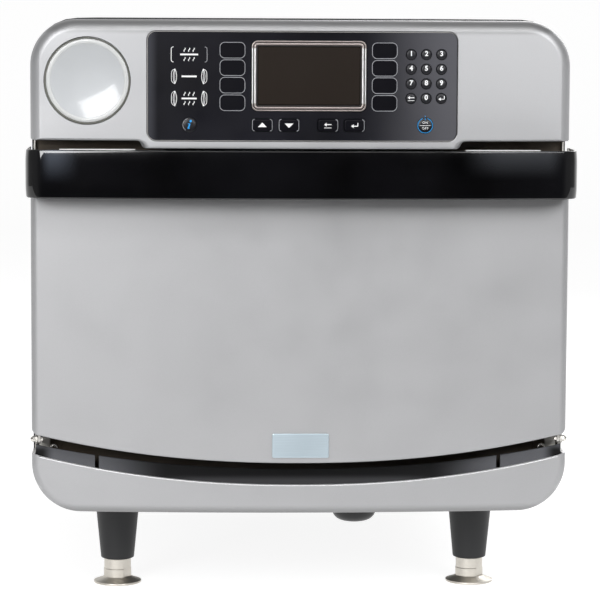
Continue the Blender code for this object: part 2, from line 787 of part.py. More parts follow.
def keys():
    """Raised keys with a crowned front, each reaching back to its switch on the board."""
    for key in key_plan():
        name, x, z = key[:3]
        front = face(x) - OVERLAY_PROUD - KEY_PROUD
        back = BOARD_FRONT - KEY_TRAVEL - SEAM
        outline = key_outline(key)
        shoulder = (inset(outline, KEY_PROUD / 2), front + KEY_PROUD / 3)
        crown = (inset(outline, KEY_PROUD * 2), front)
        shape = stepped([(outline, back), (outline, front + KEY_PROUD), shoulder, crown], COARSE_STEP_DEG)
        add_part(name, shape, BLACK_MATT, (x, front, z))


def bezel_outline(margin=0):
    """Outline of the display bezel, or of its opening when a margin is given."""
    half = BEZEL_WIDTH / 2 + margin
    return rectangle(BEZEL_X - half, BEZEL_X + half, BEZEL_LOW - margin, BEZEL_HIGH + margin,
                     BEZEL_CORNER + margin)


def display_bezel():
    """Bright frame with a sloped outer bead and a sloped inner bead."""
    front = FRONT - FRONT_BOW - BEZEL_PROUD
    outline = bezel_outline()
    rim = BEZEL_RIM - SEAM
    slope = BEZEL_SLOPE
    levels = [(0, BEZEL_DEPTH), (0, slope), (slope, 0), (rim - slope, 0), (rim, slope)]
    shape = stepped([(inset(outline, step), front + depth) for step, depth in levels])
    part = add_part("display_bezel", shape, BRIGHT)
    cut(part, prism(inset(outline, rim), "Y", front - OVERRUN, front + BEZEL_DEPTH + OVERRUN))


def display_window():
    """Dark glass inside the bezel."""
    front = FRONT - FRONT_BOW - BEZEL_PROUD + WINDOW_SET_BACK
    outline = inset(bezel_outline(), BEZEL_RIM)
    add_part("display_window", prism(outline, "Y", front, front + WINDOW_THICKNESS), SMOKED)


def control_board():
    """Board behind the overlay, with the display module on it and pegs up to the overlay."""
    half = OVERLAY_WIDTH / 2 - BOARD_MARGIN
    low, high = OVERLAY_LOW + BOARD_MARGIN, OVERLAY_HIGH - BOARD_MARGIN
    back = BOARD_FRONT + BOARD_THICKNESS
    part = add_part("control_board", block((-half, BOARD_FRONT, low), (half, back, high)), GREEN_BOARD)
    window_back = FRONT - FRONT_BOW - BEZEL_PROUD + WINDOW_SET_BACK + WINDOW_THICKNESS
    module = inset(bezel_outline(), BEZEL_RIM + SEAM)
    pieces = [prism(module, "Y", window_back + SEAM, BOARD_FRONT + BOARD_THICKNESS / 2)]
    for x in (-half + BOARD_PEG, half - BOARD_PEG):
        for z in (low + BOARD_PEG, high - BOARD_PEG):
            start = max(face(x - BOARD_PEG), face(x + BOARD_PEG)) - OVERLAY_PROUD + OVERLAY_THICKNESS + SEAM
            pieces.append(rod((x, 0, z), "Y", BOARD_PEG / 2, start, BOARD_FRONT + BOARD_THICKNESS / 2,
                              SCREW_SIDES))
    pieces.append(block((-half / 2, BOARD_FRONT + BOARD_THICKNESS / 2, low + BOARD_BLOCK),
                        (-half / 2 + 3 * BOARD_BLOCK, back + BOARD_BLOCK, low + 3 * BOARD_BLOCK)))
    join(part, together(pieces))


def badge_disc():
    """Round disc with a raised ring round its plain face."""
    near = BADGE_SET_BACK
    rise = BADGE_RING_HEIGHT
    profile = [(0, near + BADGE_THICKNESS), (BADGE_RADIUS, near + BADGE_THICKNESS), (BADGE_RADIUS, near),
               (BADGE_RING, near), (BADGE_RING - rise, near - rise), (BADGE_FACE + rise, near - rise),
               (BADGE_FACE, near), (0, near)]
    add_part("badge_disc", badge_place(turned(profile, (0, 0, 0), "Y", DISC_SIDES)), SILVER)


def badge_lens():
    """Clear domed lens over the badge."""
    back = BADGE_SET_BACK - BADGE_RING_HEIGHT - SEAM
    profile = [(0, back), (BADGE_RADIUS, back), (BADGE_RADIUS, 0),
               (BADGE_RADIUS - LENS_EDGE / 2, -LENS_PROUD * 2 / 3), (BADGE_RADIUS - LENS_EDGE, -LENS_PROUD),
               (0, -LENS_PROUD)]
    add_part("badge_lens", badge_place(turned(profile, (0, 0, 0), "Y", DISC_SIDES)), CLEAR)


def door_outline():
    """Front of the door, with its lower edge drawn down in the middle."""
    foot = [(x, arched(x, DOOR_FOOT, DOOR_FOOT_RISE), 0) for x in strip_edges()]
    foot[0] = (*foot[0][:2], DOOR_FOOT_CORNER)
    foot[-1] = (*foot[-1][:2], DOOR_FOOT_CORNER)
    return foot + [(HALF, DOOR_TOP, DOOR_TOP_CORNER), (-HALF, DOOR_TOP, DOOR_TOP_CORNER)]


def door_shell():
    """Hollow bowed door skin, open at the back, notched at its foot for the hinge arms."""
    outline = door_outline()
    back = FRONT + DOOR_DEPTH
    skin = moulding(outline, FRONT, back, EDGE_ROUND, EDGE_STEPS, keep_up=True)
    part = add_part("door_shell", skin, SILVER, (0, HINGE_Y, HINGE_Z))
    room = inset(outline, DOOR_WALL)
    cut(part, moulding(room, FRONT + DOOR_WALL, back + OVERRUN, INNER_ROUND, INNER_STEPS))
    notches = []
    for side in (-1, 1):
        near = ARM_OUT + NOTCH_CLEARANCE
        far = ARM_OUT - ARM_THICKNESS - NOTCH_CLEARANCE
        xs = sorted((side * near, side * far))
        notches.append(block((xs[0], HINGE_Y - HINGE_EYE - NOTCH_CLEARANCE, DOOR_FOOT),
                             (xs[1], back + OVERRUN, ARM_WAIST)))
    cut(part, together(notches))


def choke_outline(margin=0):
    """Raised middle of the liner, which closes the cavity's mouth."""
    half = CAVITY_WIDTH / 2 - CHOKE_MARGIN + margin
    return rectangle(-half, half, CAVITY_FLOOR + CHOKE_MARGIN - margin, CAVITY_TOP - CHOKE_MARGIN + margin,
                     CHOKE_CORNER + margin)


def door_liner():
    """Inner plate of the door with its raised choke and the two hinge arms."""
    near = FRONT + DOOR_DEPTH + SEAM
    outline = rectangle(-LINER_HALF, LINER_HALF, LINER_FOOT, DOOR_TOP - LINER_TOP_LAP)
    part = add_part("door_liner", prism(outline, "Y", near, LINER_BACK), STEEL, (0, HINGE_Y, HINGE_Z))
    bevel = CHOKE_MARGIN / 2
    wide, slim = choke_outline(), choke_outline(-bevel)
    crest = LINER_BACK + CHOKE_STEP
    join(part, stepped([(wide, LINER_BACK - LINER_DEPTH / 2), (wide, crest - bevel), (slim, crest)]))
    join(part, hinge_arms())
    cut(part, pin_holes())


def door_gasket():
    """Seal ring round the cavity's mouth, carried by the liner."""
    near = LINER_BACK + SEAM
    inner = rectangle(-CAVITY_WIDTH / 2 - GASKET_LAP, CAVITY_WIDTH / 2 + GASKET_LAP,
                      CAVITY_FLOOR - GASKET_LAP, CAVITY_TOP + GASKET_LAP, CHOKE_CORNER)
    outer = inset(inner, -GASKET_WIDTH)
    part = add_part("door_gasket", prism(outer, "Y", near, near + GASKET_THICKNESS), RUBBER,
                    (0, HINGE_Y, HINGE_Z))
    cut(part, prism(inner, "Y", near - OVERRUN, near + GASKET_THICKNESS + OVERRUN))


def handle_path(step):
    """Plan of the handle strap's outer side, moved inwards by a step."""
    side = HALF + SEAM + HANDLE_THICKNESS - step
    reach = HANDLE_REACH - step
    row = []
    for strip in range(-HANDLE_STRIPS, HANDLE_STRIPS + 1):
        share = strip / HANDLE_STRIPS
        row.append((side * share, FRONT - reach - FRONT_BOW * (1 - share * share), 0))
    row[0] = (*row[0][:2], HANDLE_BEND - step)
    row[-1] = (*row[-1][:2], HANDLE_BEND - step)
    end = FRONT + HANDLE_ARM_END
    return [(-side, end, 0), *row, (side, end, 0)]


def door_handle():
    """Wide strap bowed like the door, its ends bent back over the door's sides."""
    outer = handle_path(0)
    inner = handle_path(HANDLE_THICKNESS)
    strap = prism(outer + inner[::-1], "Z", HANDLE_LOW, HANDLE_HIGH)
    part = add_part("door_handle", strap, BLACK_GLOSS, (0, HINGE_Y, HINGE_Z))
    bevel = part.modifiers.new("edges", "BEVEL")
    bevel.width = HANDLE_EDGE
    bevel.segments = 1
    bevel.limit_method = "ANGLE"
    bevel.angle_limit = math.radians(HANDLE_SHARP_DEG)
    x = HALF + SEAM + HANDLE_THICKNESS
    join(part, together([screw((side * x, FRONT + HANDLE_SCREW_BACK, z), "X", side) for side in (-1, 1)
                         for z in (HANDLE_LOW + HANDLE_SCREW_INSET, HANDLE_HIGH - HANDLE_SCREW_INSET)]))


def name_plate():
    """Bare plate at the foot of the door."""
    front = FRONT - FRONT_BOW - SEAM
    half = PLATE_WIDTH / 2
    outline = rectangle(-half, half, PLATE_LOW, PLATE_HIGH, PLATE_CORNER)
    add_part("name_plate", prism(outline, "Y", front - PLATE_THICKNESS, front), STEEL, (0, HINGE_Y, HINGE_Z))


def hinge_arms():
    """Two flat arms from the hinge pins up to the liner's edges."""
    arms = []
    tip = HINGE_EYE * EYE_ROUND_SHARE
    profile = [
        (HINGE_Y - HINGE_EYE, HINGE_Z - HINGE_EYE, tip), (HINGE_Y + HINGE_EYE, HINGE_Z - HINGE_EYE, tip),
        (HINGE_Y + HINGE_EYE, ARM_WAIST, 0), (LINER_BACK, ARM_WAIST, 0), (LINER_BACK, ARM_TOP, 0),
        (HINGE_Y + HINGE_EYE / 2, ARM_TOP, HINGE_EYE), (HINGE_Y - HINGE_EYE, ARM_WAIST, 0),
    ]
    for side in (-1, 1):
        xs = sorted((side * ARM_OUT, side * (ARM_OUT - ARM_THICKNESS)))
        arms.append(prism(profile, "X", *xs))
    return together(arms)


def hinge_brackets():
    """Two angles on the front frame: a plate with the pin's hole and a tab."""
    pieces = []
    near = FRAME_FRONT - BRACKET_THICKNESS
    far = FRAME_FRONT + FRAME_THICKNESS / 2
    tip = HINGE_EYE * EYE_ROUND_SHARE
    profile = [
        (HINGE_Y - HINGE_EYE, HINGE_Z - HINGE_EYE, tip), (far, HINGE_Z - HINGE_EYE, 0),
        (far, HINGE_Z + HINGE_EYE, 0), (HINGE_Y - HINGE_EYE, HINGE_Z + HINGE_EYE, tip),
    ]
    for side in (-1, 1):
        xs = sorted((side * BRACKET_OUT, side * (BRACKET_OUT - BRACKET_THICKNESS)))
        pieces.append(prism(profile, "X", *xs))
        xs = sorted((side * (BRACKET_OUT - BRACKET_THICKNESS), side * (BRACKET_OUT - TAB_REACH)))
        pieces.append(block((xs[0], near, HINGE_Z - TAB_DROP), (xs[1], far, HINGE_Z + HINGE_EYE)))
        pieces.append(screw((side * TAB_SCREW_X, near, HINGE_Z - TAB_SCREW_DROP), "Y", -1))
    return pieces


def hinge_pins():
    """Two pivot screws whose heads lie outside the brackets."""
    for name, side in (("hinge_pin_left", -1), ("hinge_pin_right", 1)):
        head = side * (BRACKET_OUT + SEAM)
        shoulder, crown = head + side * PIN_HEAD_HEIGHT / 2, head + side * PIN_HEAD_HEIGHT
        end = side * (ARM_OUT - ARM_THICKNESS - PIN_HEAD_HEIGHT / 2)
        profile = [(0, end), (PIN_RADIUS, end), (PIN_RADIUS, head), (PIN_HEAD, head), (PIN_HEAD, shoulder),
                   (PIN_HEAD / 2, crown), (0, crown)]
        add_part(name, turned(profile, (0, HINGE_Y, HINGE_Z), "X", KEY_SIDES), STEEL)


def pin_holes():
    """Hole through both hinges."""
    reach = HALF + OVERRUN
    return rod((0, HINGE_Y, HINGE_Z), "X", PIN_RADIUS + PIN_CLEARANCE, -reach, reach)


def fascia_outline(step, middle, rise):
    """Front of the lower fascia under an arched upper edge, its other sides moved inwards by a step."""
    lip = [(x, arched(x, middle, rise), 0) for x in strip_edges()[::-1]]
    corners = [(-HALF, UNDERSIDE, BOTTOM_CORNER), (HALF, UNDERSIDE, BOTTOM_CORNER), *lip]
    return inset(corners, step, keep_up=True)


def lower_fascia():
    """Bowed fascia, hollow behind and open along its arched lip."""
    back = FRONT + MOULDING_DEPTH
    outline = fascia_outline(0, LIP_MIDDLE, LIP_RISE)
    shell = moulding(outline, FRONT, back, EDGE_ROUND, EDGE_STEPS, keep_up=True)
    part = add_part("lower_fascia", shell, SILVER)
    room = fascia_outline(MOULDING_WALL, LIP_MIDDLE + LIP_RISE, LIP_RISE)
    cut(part, moulding(room, FRONT + MOULDING_WALL, back + OVERRUN, INNER_ROUND, INNER_STEPS, keep_up=True))


def drip_trough():
    """Dark wall and floor behind the fascia's lip, slotted near each end and clear of the hinge brackets."""
    near = FRONT + TROUGH_SET_BACK
    outline = fascia_outline(MOULDING_WALL + SEAM, TROUGH_TOP, TROUGH_RISE)
    part = add_part("drip_trough", prism(outline, "Y", near, near + TROUGH_WALL), GREY_PLASTIC)
    low = UNDERSIDE + TROUGH_FLOOR_LIFT
    floor = rectangle(-TROUGH_FLOOR_HALF, TROUGH_FLOOR_HALF, low, low + TROUGH_FLOOR)
    front = FRONT + MOULDING_WALL + SEAM
    join(part, bowed(prism(floor, "Y", front, near + TROUGH_WALL / 2), near + TROUGH_WALL / 2))
    far = near + TROUGH_WALL + OVERRUN
    top = TROUGH_TOP + TROUGH_RISE + OVERRUN
    clear_x = BRACKET_OUT - BRACKET_THICKNESS - NOTCH_CLEARANCE
    clear_z = HINGE_Z - HINGE_EYE - NOTCH_CLEARANCE
    cuts = []
    for side in (-1, 1):
        x = side * TROUGH_SLOT_X
        cuts.append(block((x - TROUGH_SLOT_WIDTH / 2, near - OVERRUN, TROUGH_SLOT_FOOT),
                          (x + TROUGH_SLOT_WIDTH / 2, far, top)))
        xs = sorted((side * clear_x, side * (HALF + OVERRUN)))
        cuts.append(block((xs[0], near - OVERRUN, clear_z), (xs[1], far, top)))
    cut(part, together(cuts))


def front_frame():
    """Steel face of the body with the cavity's mouth, two flanges turned forward and the hinge brackets."""
    part = add_part("front_frame", prism(body_outline(SHEET + SEAM), "Y", FRAME_FRONT, FRAME_BACK), STEEL)
    flanges = []
    low, high = LIP_MIDDLE + LIP_RISE, HOOD_END - FLANGE_CLEARANCE
    for side in (-1, 1):
        xs = sorted((side * FRAME_FLANGE_X, side * (FRAME_FLANGE_X - FRAME_FLANGE_SHEET)))
        flanges.append(block((xs[0], FRAME_FRONT - FRAME_FLANGE_DEPTH, low),
                             (xs[1], FRAME_FRONT + FRAME_THICKNESS / 2, high)))
    join(part, together(flanges))
    for piece in hinge_brackets():
        join(part, piece)
    cut(part, pin_holes())
    half = CAVITY_WIDTH / 2
    cut(part, block((-half, FRAME_FRONT - OVERRUN, CAVITY_FLOOR), (half, FRAME_BACK + OVERRUN, CAVITY_TOP)))


def cooking_cavity():
    """Sheet box open at the front, with rack ledges, the blower's intake and its shroud."""
    half = CAVITY_WIDTH / 2
    outer = half + CAVITY_SHEET
    box = block((-outer, CAVITY_FRONT, CAVITY_FLOOR - CAVITY_SHEET),
                (outer, CAVITY_BACK, CAVITY_TOP + CAVITY_SHEET))
    part = add_part("cooking_cavity", box, STEEL)
    cut(part, block((-half, CAVITY_FRONT - OVERRUN, CAVITY_FLOOR), (half, CAVITY_REAR, CAVITY_TOP)))
    ledges = []
    for side in (-1, 1):
        xs = sorted((side * (half + CAVITY_SHEET / 2), side * (half - LEDGE_WIDTH)))
        ledges.append(block((xs[0], CAVITY_FRONT + LEDGE_END, LEDGE_Z - LEDGE_THICKNESS),
                            (xs[1], CAVITY_REAR - LEDGE_END, LEDGE_Z)))
    start = CAVITY_BACK - CAVITY_SHEET / 2
    shroud = [(SHROUD_RADIUS, start), (SHROUD_RADIUS, SHROUD_END), (SHROUD_RADIUS + CAVITY_SHEET, SHROUD_END),
              (SHROUD_RADIUS + CAVITY_SHEET, start)]
    join(part, together(ledges + [turned(shroud, (0, 0, BLOWER_Z), "Y", ROUND_SIDES)]))
    intake = rod((0, 0, BLOWER_Z), "Y", INTAKE_RADIUS, CAVITY_REAR - OVERRUN, CAVITY_BACK + OVERRUN)
    aperture = guide_aperture(CAVITY_TOP - OVERRUN, CAVITY_TOP + CAVITY_SHEET + OVERRUN)
    cut(part, together([intake, aperture]))


def guide_aperture(low, high):
    """Opening between the waveguide and the cavity."""
    near = FRONT + GUIDE_SET_BACK
    left, right = GUIDE_X - GUIDE_APERTURE / 2, GUIDE_X + GUIDE_APERTURE / 2
    return block((left, near + GUIDE_SHEET + OVERRUN, low), (right, near + GUIDE_APERTURE, high))


def jet_plate(name, level, rim):
    """Perforated tray whose rim stands on the cavity's floor or hangs from its roof."""
    half = CAVITY_WIDTH / 2 - SEAM
    near, far = CAVITY_FRONT + JET_FRONT, CAVITY_REAR - SEAM
    low, high = sorted((level, rim))
    part = add_part(name, block((-half, near, low), (half, far, high)), STEEL)
    inside = half - JET_SHEET
    hollow_low = low + JET_SHEET if level == low else low - OVERRUN
    hollow_high = high - JET_SHEET if level == high else high + OVERRUN
    cut(part, block((-inside, near + JET_SHEET, hollow_low), (inside, far - JET_SHEET, hollow_high)))
    across, along = 2 * inside / JET_COLUMNS, (far - near) / JET_ROWS
    holes = []
    for column in range(JET_COLUMNS):
        for row in range(JET_ROWS):
            x = across / 2 + across * column - inside
            y = near + along / 2 + along * row
            holes.append(rod((x, y, level), "Z", JET_HOLE, -OVERRUN, OVERRUN, JET_HOLE_SIDES))
    cut(part, together(holes))


def wire_loop(corners, radius, height, sides=WIRE_SIDES):
    """Closed wire along a flat outline."""
    rings = []
    outline = filleted(corners)
    for index, point in enumerate(outline):
        before = (point - outline[index - 1]).normalized()
        after = (outline[(index + 1) % len(outline)] - point).normalized()
        first, second = Vector((before.y, -before.x)), Vector((after.y, -after.x))
        out = (first + second) / (1 + first.dot(second))
        ring = []
        for side in range(sides):
            turn = math.tau * (side + 0.5) / sides
            spot = point + out * radius * math.cos(turn)
            ring.append((spot.x, spot.y, height + radius * math.sin(turn)))
        rings.append(ring)
    shape = bmesh.new()
    loops = [[shape.verts.new(point) for point in ring] for ring in rings]
    for index in range(len(loops)):
        low, high = loops[index - 1], loops[index]
        for side in range(sides):
            shape.faces.new((low[side - 1], low[side], high[side], high[side - 1]))
    return shape


def oven_rack():
    """Wire rack that rests on the cavity's ledges."""
    half = CAVITY_WIDTH / 2 - RACK_MARGIN - RACK_FRAME_WIRE
    near, far = CAVITY_FRONT + LEDGE_END, CAVITY_REAR - LEDGE_END
    height = LEDGE_Z + SEAM + RACK_FRAME_WIRE
    outline = rectangle(-half, half, near, far, RACK_CORNER)
    origin = (0, (near + far) / 2, height)
    part = add_part("oven_rack", wire_loop(outline, RACK_FRAME_WIRE, height), BRIGHT, origin)
    spread = half - RACK_CORNER
    pitch = 2 * spread / (RACK_WIRES - 1)
    wires = [rod((pitch * index - spread, 0, height), "Y", RACK_WIRE, near, far, WIRE_SIDES)
             for index in range(RACK_WIRES)]
    join(part, together(wires))


def blade(inner, outer, sheet, low, high, lean):
    """Curved impeller blade along the Y axis, from an inner to an outer radius."""
    sides = []
    for offset in (-sheet / 2, sheet / 2):
        run = []
        for step in range(BLADE_STEPS + 1):
            share = step / BLADE_STEPS
            radius = inner + (outer - inner) * share
            turn = lean * share * share
            run.append((radius * math.cos(turn) - offset * math.sin(turn),
                        radius * math.sin(turn) + offset * math.cos(turn), 0))
        sides.append(run)
    return prism(sides[0] + sides[1][::-1], "Y", low, high)


def around(shape_maker, count, centre):
    """Copies of a shape turned evenly about the Y axis and moved to a centre."""
    shapes = []
    for index in range(count):
        shape = shape_maker()
        place = Matrix.Translation(centre) @ Matrix.Rotation(math.tau * index / count, 4, "Y")
        bmesh.ops.transform(shape, matrix=place, verts=shape.verts)
        shapes.append(shape)
    return together(shapes)


def blower_impeller():
    """Backward-curved impeller: hub and back plate, blades and front ring."""
    near = CAVITY_BACK + IMPELLER_GAP
    far = near + IMPELLER_WIDTH
    sheet = IMPELLER_SHEET
    centre = (0, 0, BLOWER_Z)
    bore = SHAFT_RADIUS + SEAM
    hub_near = near + IMPELLER_WIDTH / 3
    plate = [(bore, hub_near), (HUB_RADIUS, hub_near), (HUB_RADIUS, far - sheet),
             (IMPELLER_RADIUS, far - sheet), (IMPELLER_RADIUS, far), (bore, far)]
    part = add_part("blower_impeller", turned(plate, centre, "Y", ROUND_SIDES), STEEL,
                    (0, (near + far) / 2, BLOWER_Z))
    ring = [(IMPELLER_EYE, near), (IMPELLER_EYE, near + sheet),
            (IMPELLER_RADIUS, near + sheet), (IMPELLER_RADIUS, near)]
    lean = math.radians(IMPELLER_LEAN_DEG)

    def one_blade():
        return blade(IMPELLER_EYE - sheet, IMPELLER_RADIUS - sheet / 2, BLADE_SHEET, near + sheet / 2,
                     far - sheet / 2, lean)

    join(part, around(one_blade, IMPELLER_BLADES, centre))
    join(part, turned(ring, centre, "Y", ROUND_SIDES))


def coil_turns():
    """Angles of the two ends of the heater coil, which opens at its foot."""
    half = math.radians(COIL_OPENING_DEG) / 2
    return -math.pi / 2 + half, 3 * math.pi / 2 - half


def blower_motor():
    """Motor on the plate that closes the shroud, with its shaft through the impeller."""
    start = SHROUD_END + SEAM
    near = CAVITY_BACK + IMPELLER_GAP + IMPELLER_WIDTH / 3
    plate_radius, plate_back = SHROUD_RADIUS + CAVITY_SHEET, start + MOTOR_PLATE
    end = start + MOTOR_LENGTH
    profile = [(0, near), (SHAFT_RADIUS, near), (SHAFT_RADIUS, start), (plate_radius, start),
               (plate_radius, plate_back), (MOTOR_RADIUS, plate_back), (MOTOR_RADIUS, end),
               (MOTOR_RADIUS * 2 / 3, end + MOTOR_PLATE), (0, end + MOTOR_PLATE)]
    part = add_part("blower_motor", turned(profile, (0, 0, BLOWER_Z), "Y", ROUND_SIDES), DARK_PAINT)
    holes = []
    for turn in coil_turns():
        centre = (COIL_RADIUS * math.cos(turn), 0, BLOWER_Z + COIL_RADIUS * math.sin(turn))
        holes.append(rod(centre, "Y", COIL_TUBE + SEAM, start - OVERRUN, plate_back + OVERRUN, KEY_SIDES))
    cut(part, together(holes))


def heater_coil():
    """Tubular heater round the impeller, its two ends led out through the motor's plate."""
    middle = CAVITY_BACK + SHROUD_DEPTH / 2
    end = SHROUD_END + MOTOR_PLATE + COIL_LEAD
    first, last = coil_turns()
    points = []
    for step in range(COIL_STEPS + 1):
        turn = first + (last - first) * step / COIL_STEPS
        points.append((COIL_RADIUS * math.cos(turn), middle, BLOWER_Z + COIL_RADIUS * math.sin(turn)))
    points = [(points[0][0], end, points[0][2]), *points, (points[-1][0], end, points[-1][2])]
    curve = bpy.data.curves.new("heater_coil", "CURVE")
    curve.dimensions = "3D"
    spline = curve.splines.new("POLY")
    spline.points.add(len(points) - 1)
    for spot, point in zip(spline.points, points):
        spot.co = (*point, 1)
    curve.bevel_depth = COIL_TUBE
    curve.bevel_resolution = 1
    curve.use_fill_caps = True
    coil = bpy.data.objects.new("heater_coil", curve)
    bpy.context.scene.collection.objects.link(coil)
    curve.materials.append(look_material("heater_coil", DARK_PAINT))


def waveguide():
    """Hollow duct on the cavity's roof, open below over the aperture and above for the antenna."""
    low = CAVITY_TOP + CAVITY_SHEET + SEAM
    top = low + GUIDE_HEIGHT
    near, far = FRONT + GUIDE_SET_BACK, FRONT + GUIDE_SET_BACK + GUIDE_LENGTH
    left, right = GUIDE_X - GUIDE_WIDTH / 2, GUIDE_X + GUIDE_WIDTH / 2
    part = add_part("waveguide", block((left, near, low), (right, far, top)), STEEL)
    sheet = GUIDE_SHEET
    cut(part, block((left + sheet, near + sheet, low + sheet), (right - sheet, far - sheet, top - sheet)))
    hole = rod((GUIDE_X, near + magnetron_set_back(), 0), "Z", ANTENNA_RADIUS + FIN_SHEET, top - OVERRUN,
               top + OVERRUN)
    cut(part, together([guide_aperture(low - OVERRUN, low + OVERRUN), hole]))


def magnetron_set_back():
    """Distance of the magnetron's axis behind the waveguide's front end."""
    return GUIDE_LENGTH - MAGNETRON_LENGTH / 2


def magnetron():
    """Magnetron on the waveguide: flange, finned body, cap and antenna."""
    low = CAVITY_TOP + CAVITY_SHEET + SEAM + GUIDE_HEIGHT + SEAM
    y = FRONT + GUIDE_SET_BACK + magnetron_set_back()
    half, long = MAGNETRON_WIDTH / 2, MAGNETRON_LENGTH / 2
    core = half - FIN_REACH
    body = block((GUIDE_X - core, y - long + FIN_REACH, low),
                 (GUIDE_X + core, y + long - FIN_REACH, low + MAGNETRON_HEIGHT))
    part = add_part("magnetron", body, STEEL)
    pieces = [block((GUIDE_X - half, y - long, low), (GUIDE_X + half, y + long, low + MAGNETRON_FLANGE)),
              rod((GUIDE_X, y, low), "Z", ANTENNA_RADIUS, -ANTENNA_LENGTH, MAGNETRON_FLANGE / 2),
              rod((GUIDE_X, y, low), "Z", 2 * ANTENNA_RADIUS, MAGNETRON_HEIGHT - MAGNETRON_FLANGE,
                  MAGNETRON_HEIGHT + MAGNETRON_CAP)]
    for fin in range(1, MAGNETRON_FINS + 1):
        level = low + FIN_PITCH * fin
        pieces.append(block((GUIDE_X - half, y - long, level), (GUIDE_X + half, y + long, level + FIN_SHEET)))
    for piece in pieces:
        join(part, piece)


def power_transformer():
    """Laminated core on the base pan with its winding through it."""
    low = BASE_TOP + SEAM
    y = FRONT + TRANSFORMER_SET_BACK
    long = TRANSFORMER_LENGTH / 2
    left, right = TRANSFORMER_X - TRANSFORMER_WIDTH / 2, TRANSFORMER_X + TRANSFORMER_WIDTH / 2
    core = rectangle(left, right, low, low + TRANSFORMER_HEIGHT)
    part = add_part("power_transformer", prism(core, "Y", y - long, y + long), DARK_PAINT)
    winding = inset([(*corner[:2], 2 * WINDING_INSET) for corner in core], WINDING_INSET)
    join(part, prism(winding, "Y", y - long - WINDING_REACH, y + long + WINDING_REACH))


def fan_height():
    """Height of the cooling fan's axis."""
    return BASE_TOP + FAN_LIFT + FAN_SIZE / 2 + BASE_FLANGE


def fan_front():
    """Depth of the cooling fan frame's inner side."""
    return REAR - SHEET - SEAM - FAN_DEPTH


def cooling_fan_frame():
    """Square fan frame with a round bore, four struts and the rotor's motor."""
    z = fan_height()
    near, far = fan_front(), fan_front() + FAN_DEPTH
    half = FAN_SIZE / 2
    outline = rectangle(FAN_X - half, FAN_X + half, z - half, z + half, FAN_CORNER)
    part = add_part("cooling_fan_frame", prism(outline, "Y", near, far), BLACK_MATT)
    cut(part, rod((FAN_X, 0, z), "Y", FAN_BORE, near - OVERRUN, far + OVERRUN, ROUND_SIDES))
    hub_far = far - FAN_ROTOR_DEPTH - FAN_TIP_GAP
    axle_far = far - FAN_TIP_GAP - FAN_ROTOR_DEPTH / 3
    slim, long = FAN_STRUT / 2, FAN_BORE + FAN_STRUT / 2
    hub = [(0, near), (FAN_HUB, near), (FAN_HUB, hub_far - SEAM), (FAN_AXLE, hub_far - SEAM),
           (FAN_AXLE, axle_far), (0, axle_far)]
    for wide, tall in ((long, slim), (slim, long)):
        join(part, block((FAN_X - wide, near, z - tall), (FAN_X + wide, near + FAN_STRUT, z + tall)))
    join(part, turned(hub, (FAN_X, 0, z), "Y"))


def cooling_fan_rotor():
    """Hub with pitched blades, on the fan motor's axle."""
    z = fan_height()
    far = fan_front() + FAN_DEPTH - FAN_TIP_GAP
    near = far - FAN_ROTOR_DEPTH
    middle = (near + far) / 2
    bore = FAN_AXLE + SEAM
    depth = FAN_ROTOR_DEPTH * 2 / 3 + SEAM
    hub = [(0, far), (FAN_HUB, far), (FAN_HUB, near), (bore, near), (bore, near + depth), (0, near + depth)]
    part = add_part("cooling_fan_rotor", turned(hub, (FAN_X, 0, z), "Y"), BLACK_MATT, (FAN_X, middle, z))
    tip = FAN_BORE - FAN_TIP_GAP
    chord = FAN_CHORD_SHARE * FAN_ROTOR_DEPTH / 2 / math.sin(math.radians(FAN_BLADE_PITCH_DEG))

    def pitched():
        half = FAN_BLADE_SHEET / 2
        shape = block((FAN_HUB - FAN_BLADE_SHEET, -chord, -half), (tip, chord, half))
        turn = Matrix.Rotation(math.radians(90 - FAN_BLADE_PITCH_DEG), 4, "X")
        bmesh.ops.transform(shape, matrix=turn, verts=shape.verts)
        return shape

    join(part, around(pitched, FAN_BLADES, (FAN_X, middle, z)))


def leg_places():
    """Plan places of the four legs, with their names."""
    near, far = FRONT + LEG_SET_BACK, REAR - LEG_REAR_INSET
    return [("front_left", -LEG_X, near), ("front_right", LEG_X, near),
            ("rear_left", -LEG_X, far), ("rear_right", LEG_X, far)]


def legs():
    """Four tapered legs, bored for the stems of their feet."""
    top = UNDERSIDE - SEAM
    bore = STEM_RADIUS + SEAM
    roof = STEM_TOP + STEM_ROOM
    profile = [(0, top), (LEG_TOP_RADIUS, top), (LEG_FOOT_RADIUS, LEG_FOOT_Z + LEG_EDGE),
               (LEG_FOOT_RADIUS - LEG_EDGE, LEG_FOOT_Z), (bore, LEG_FOOT_Z), (bore, roof), (0, roof)]
    for place, x, y in leg_places():
        add_part(f"leg_{place}", turned(profile, (x, y, 0), "Z"), BLACK_MATT)


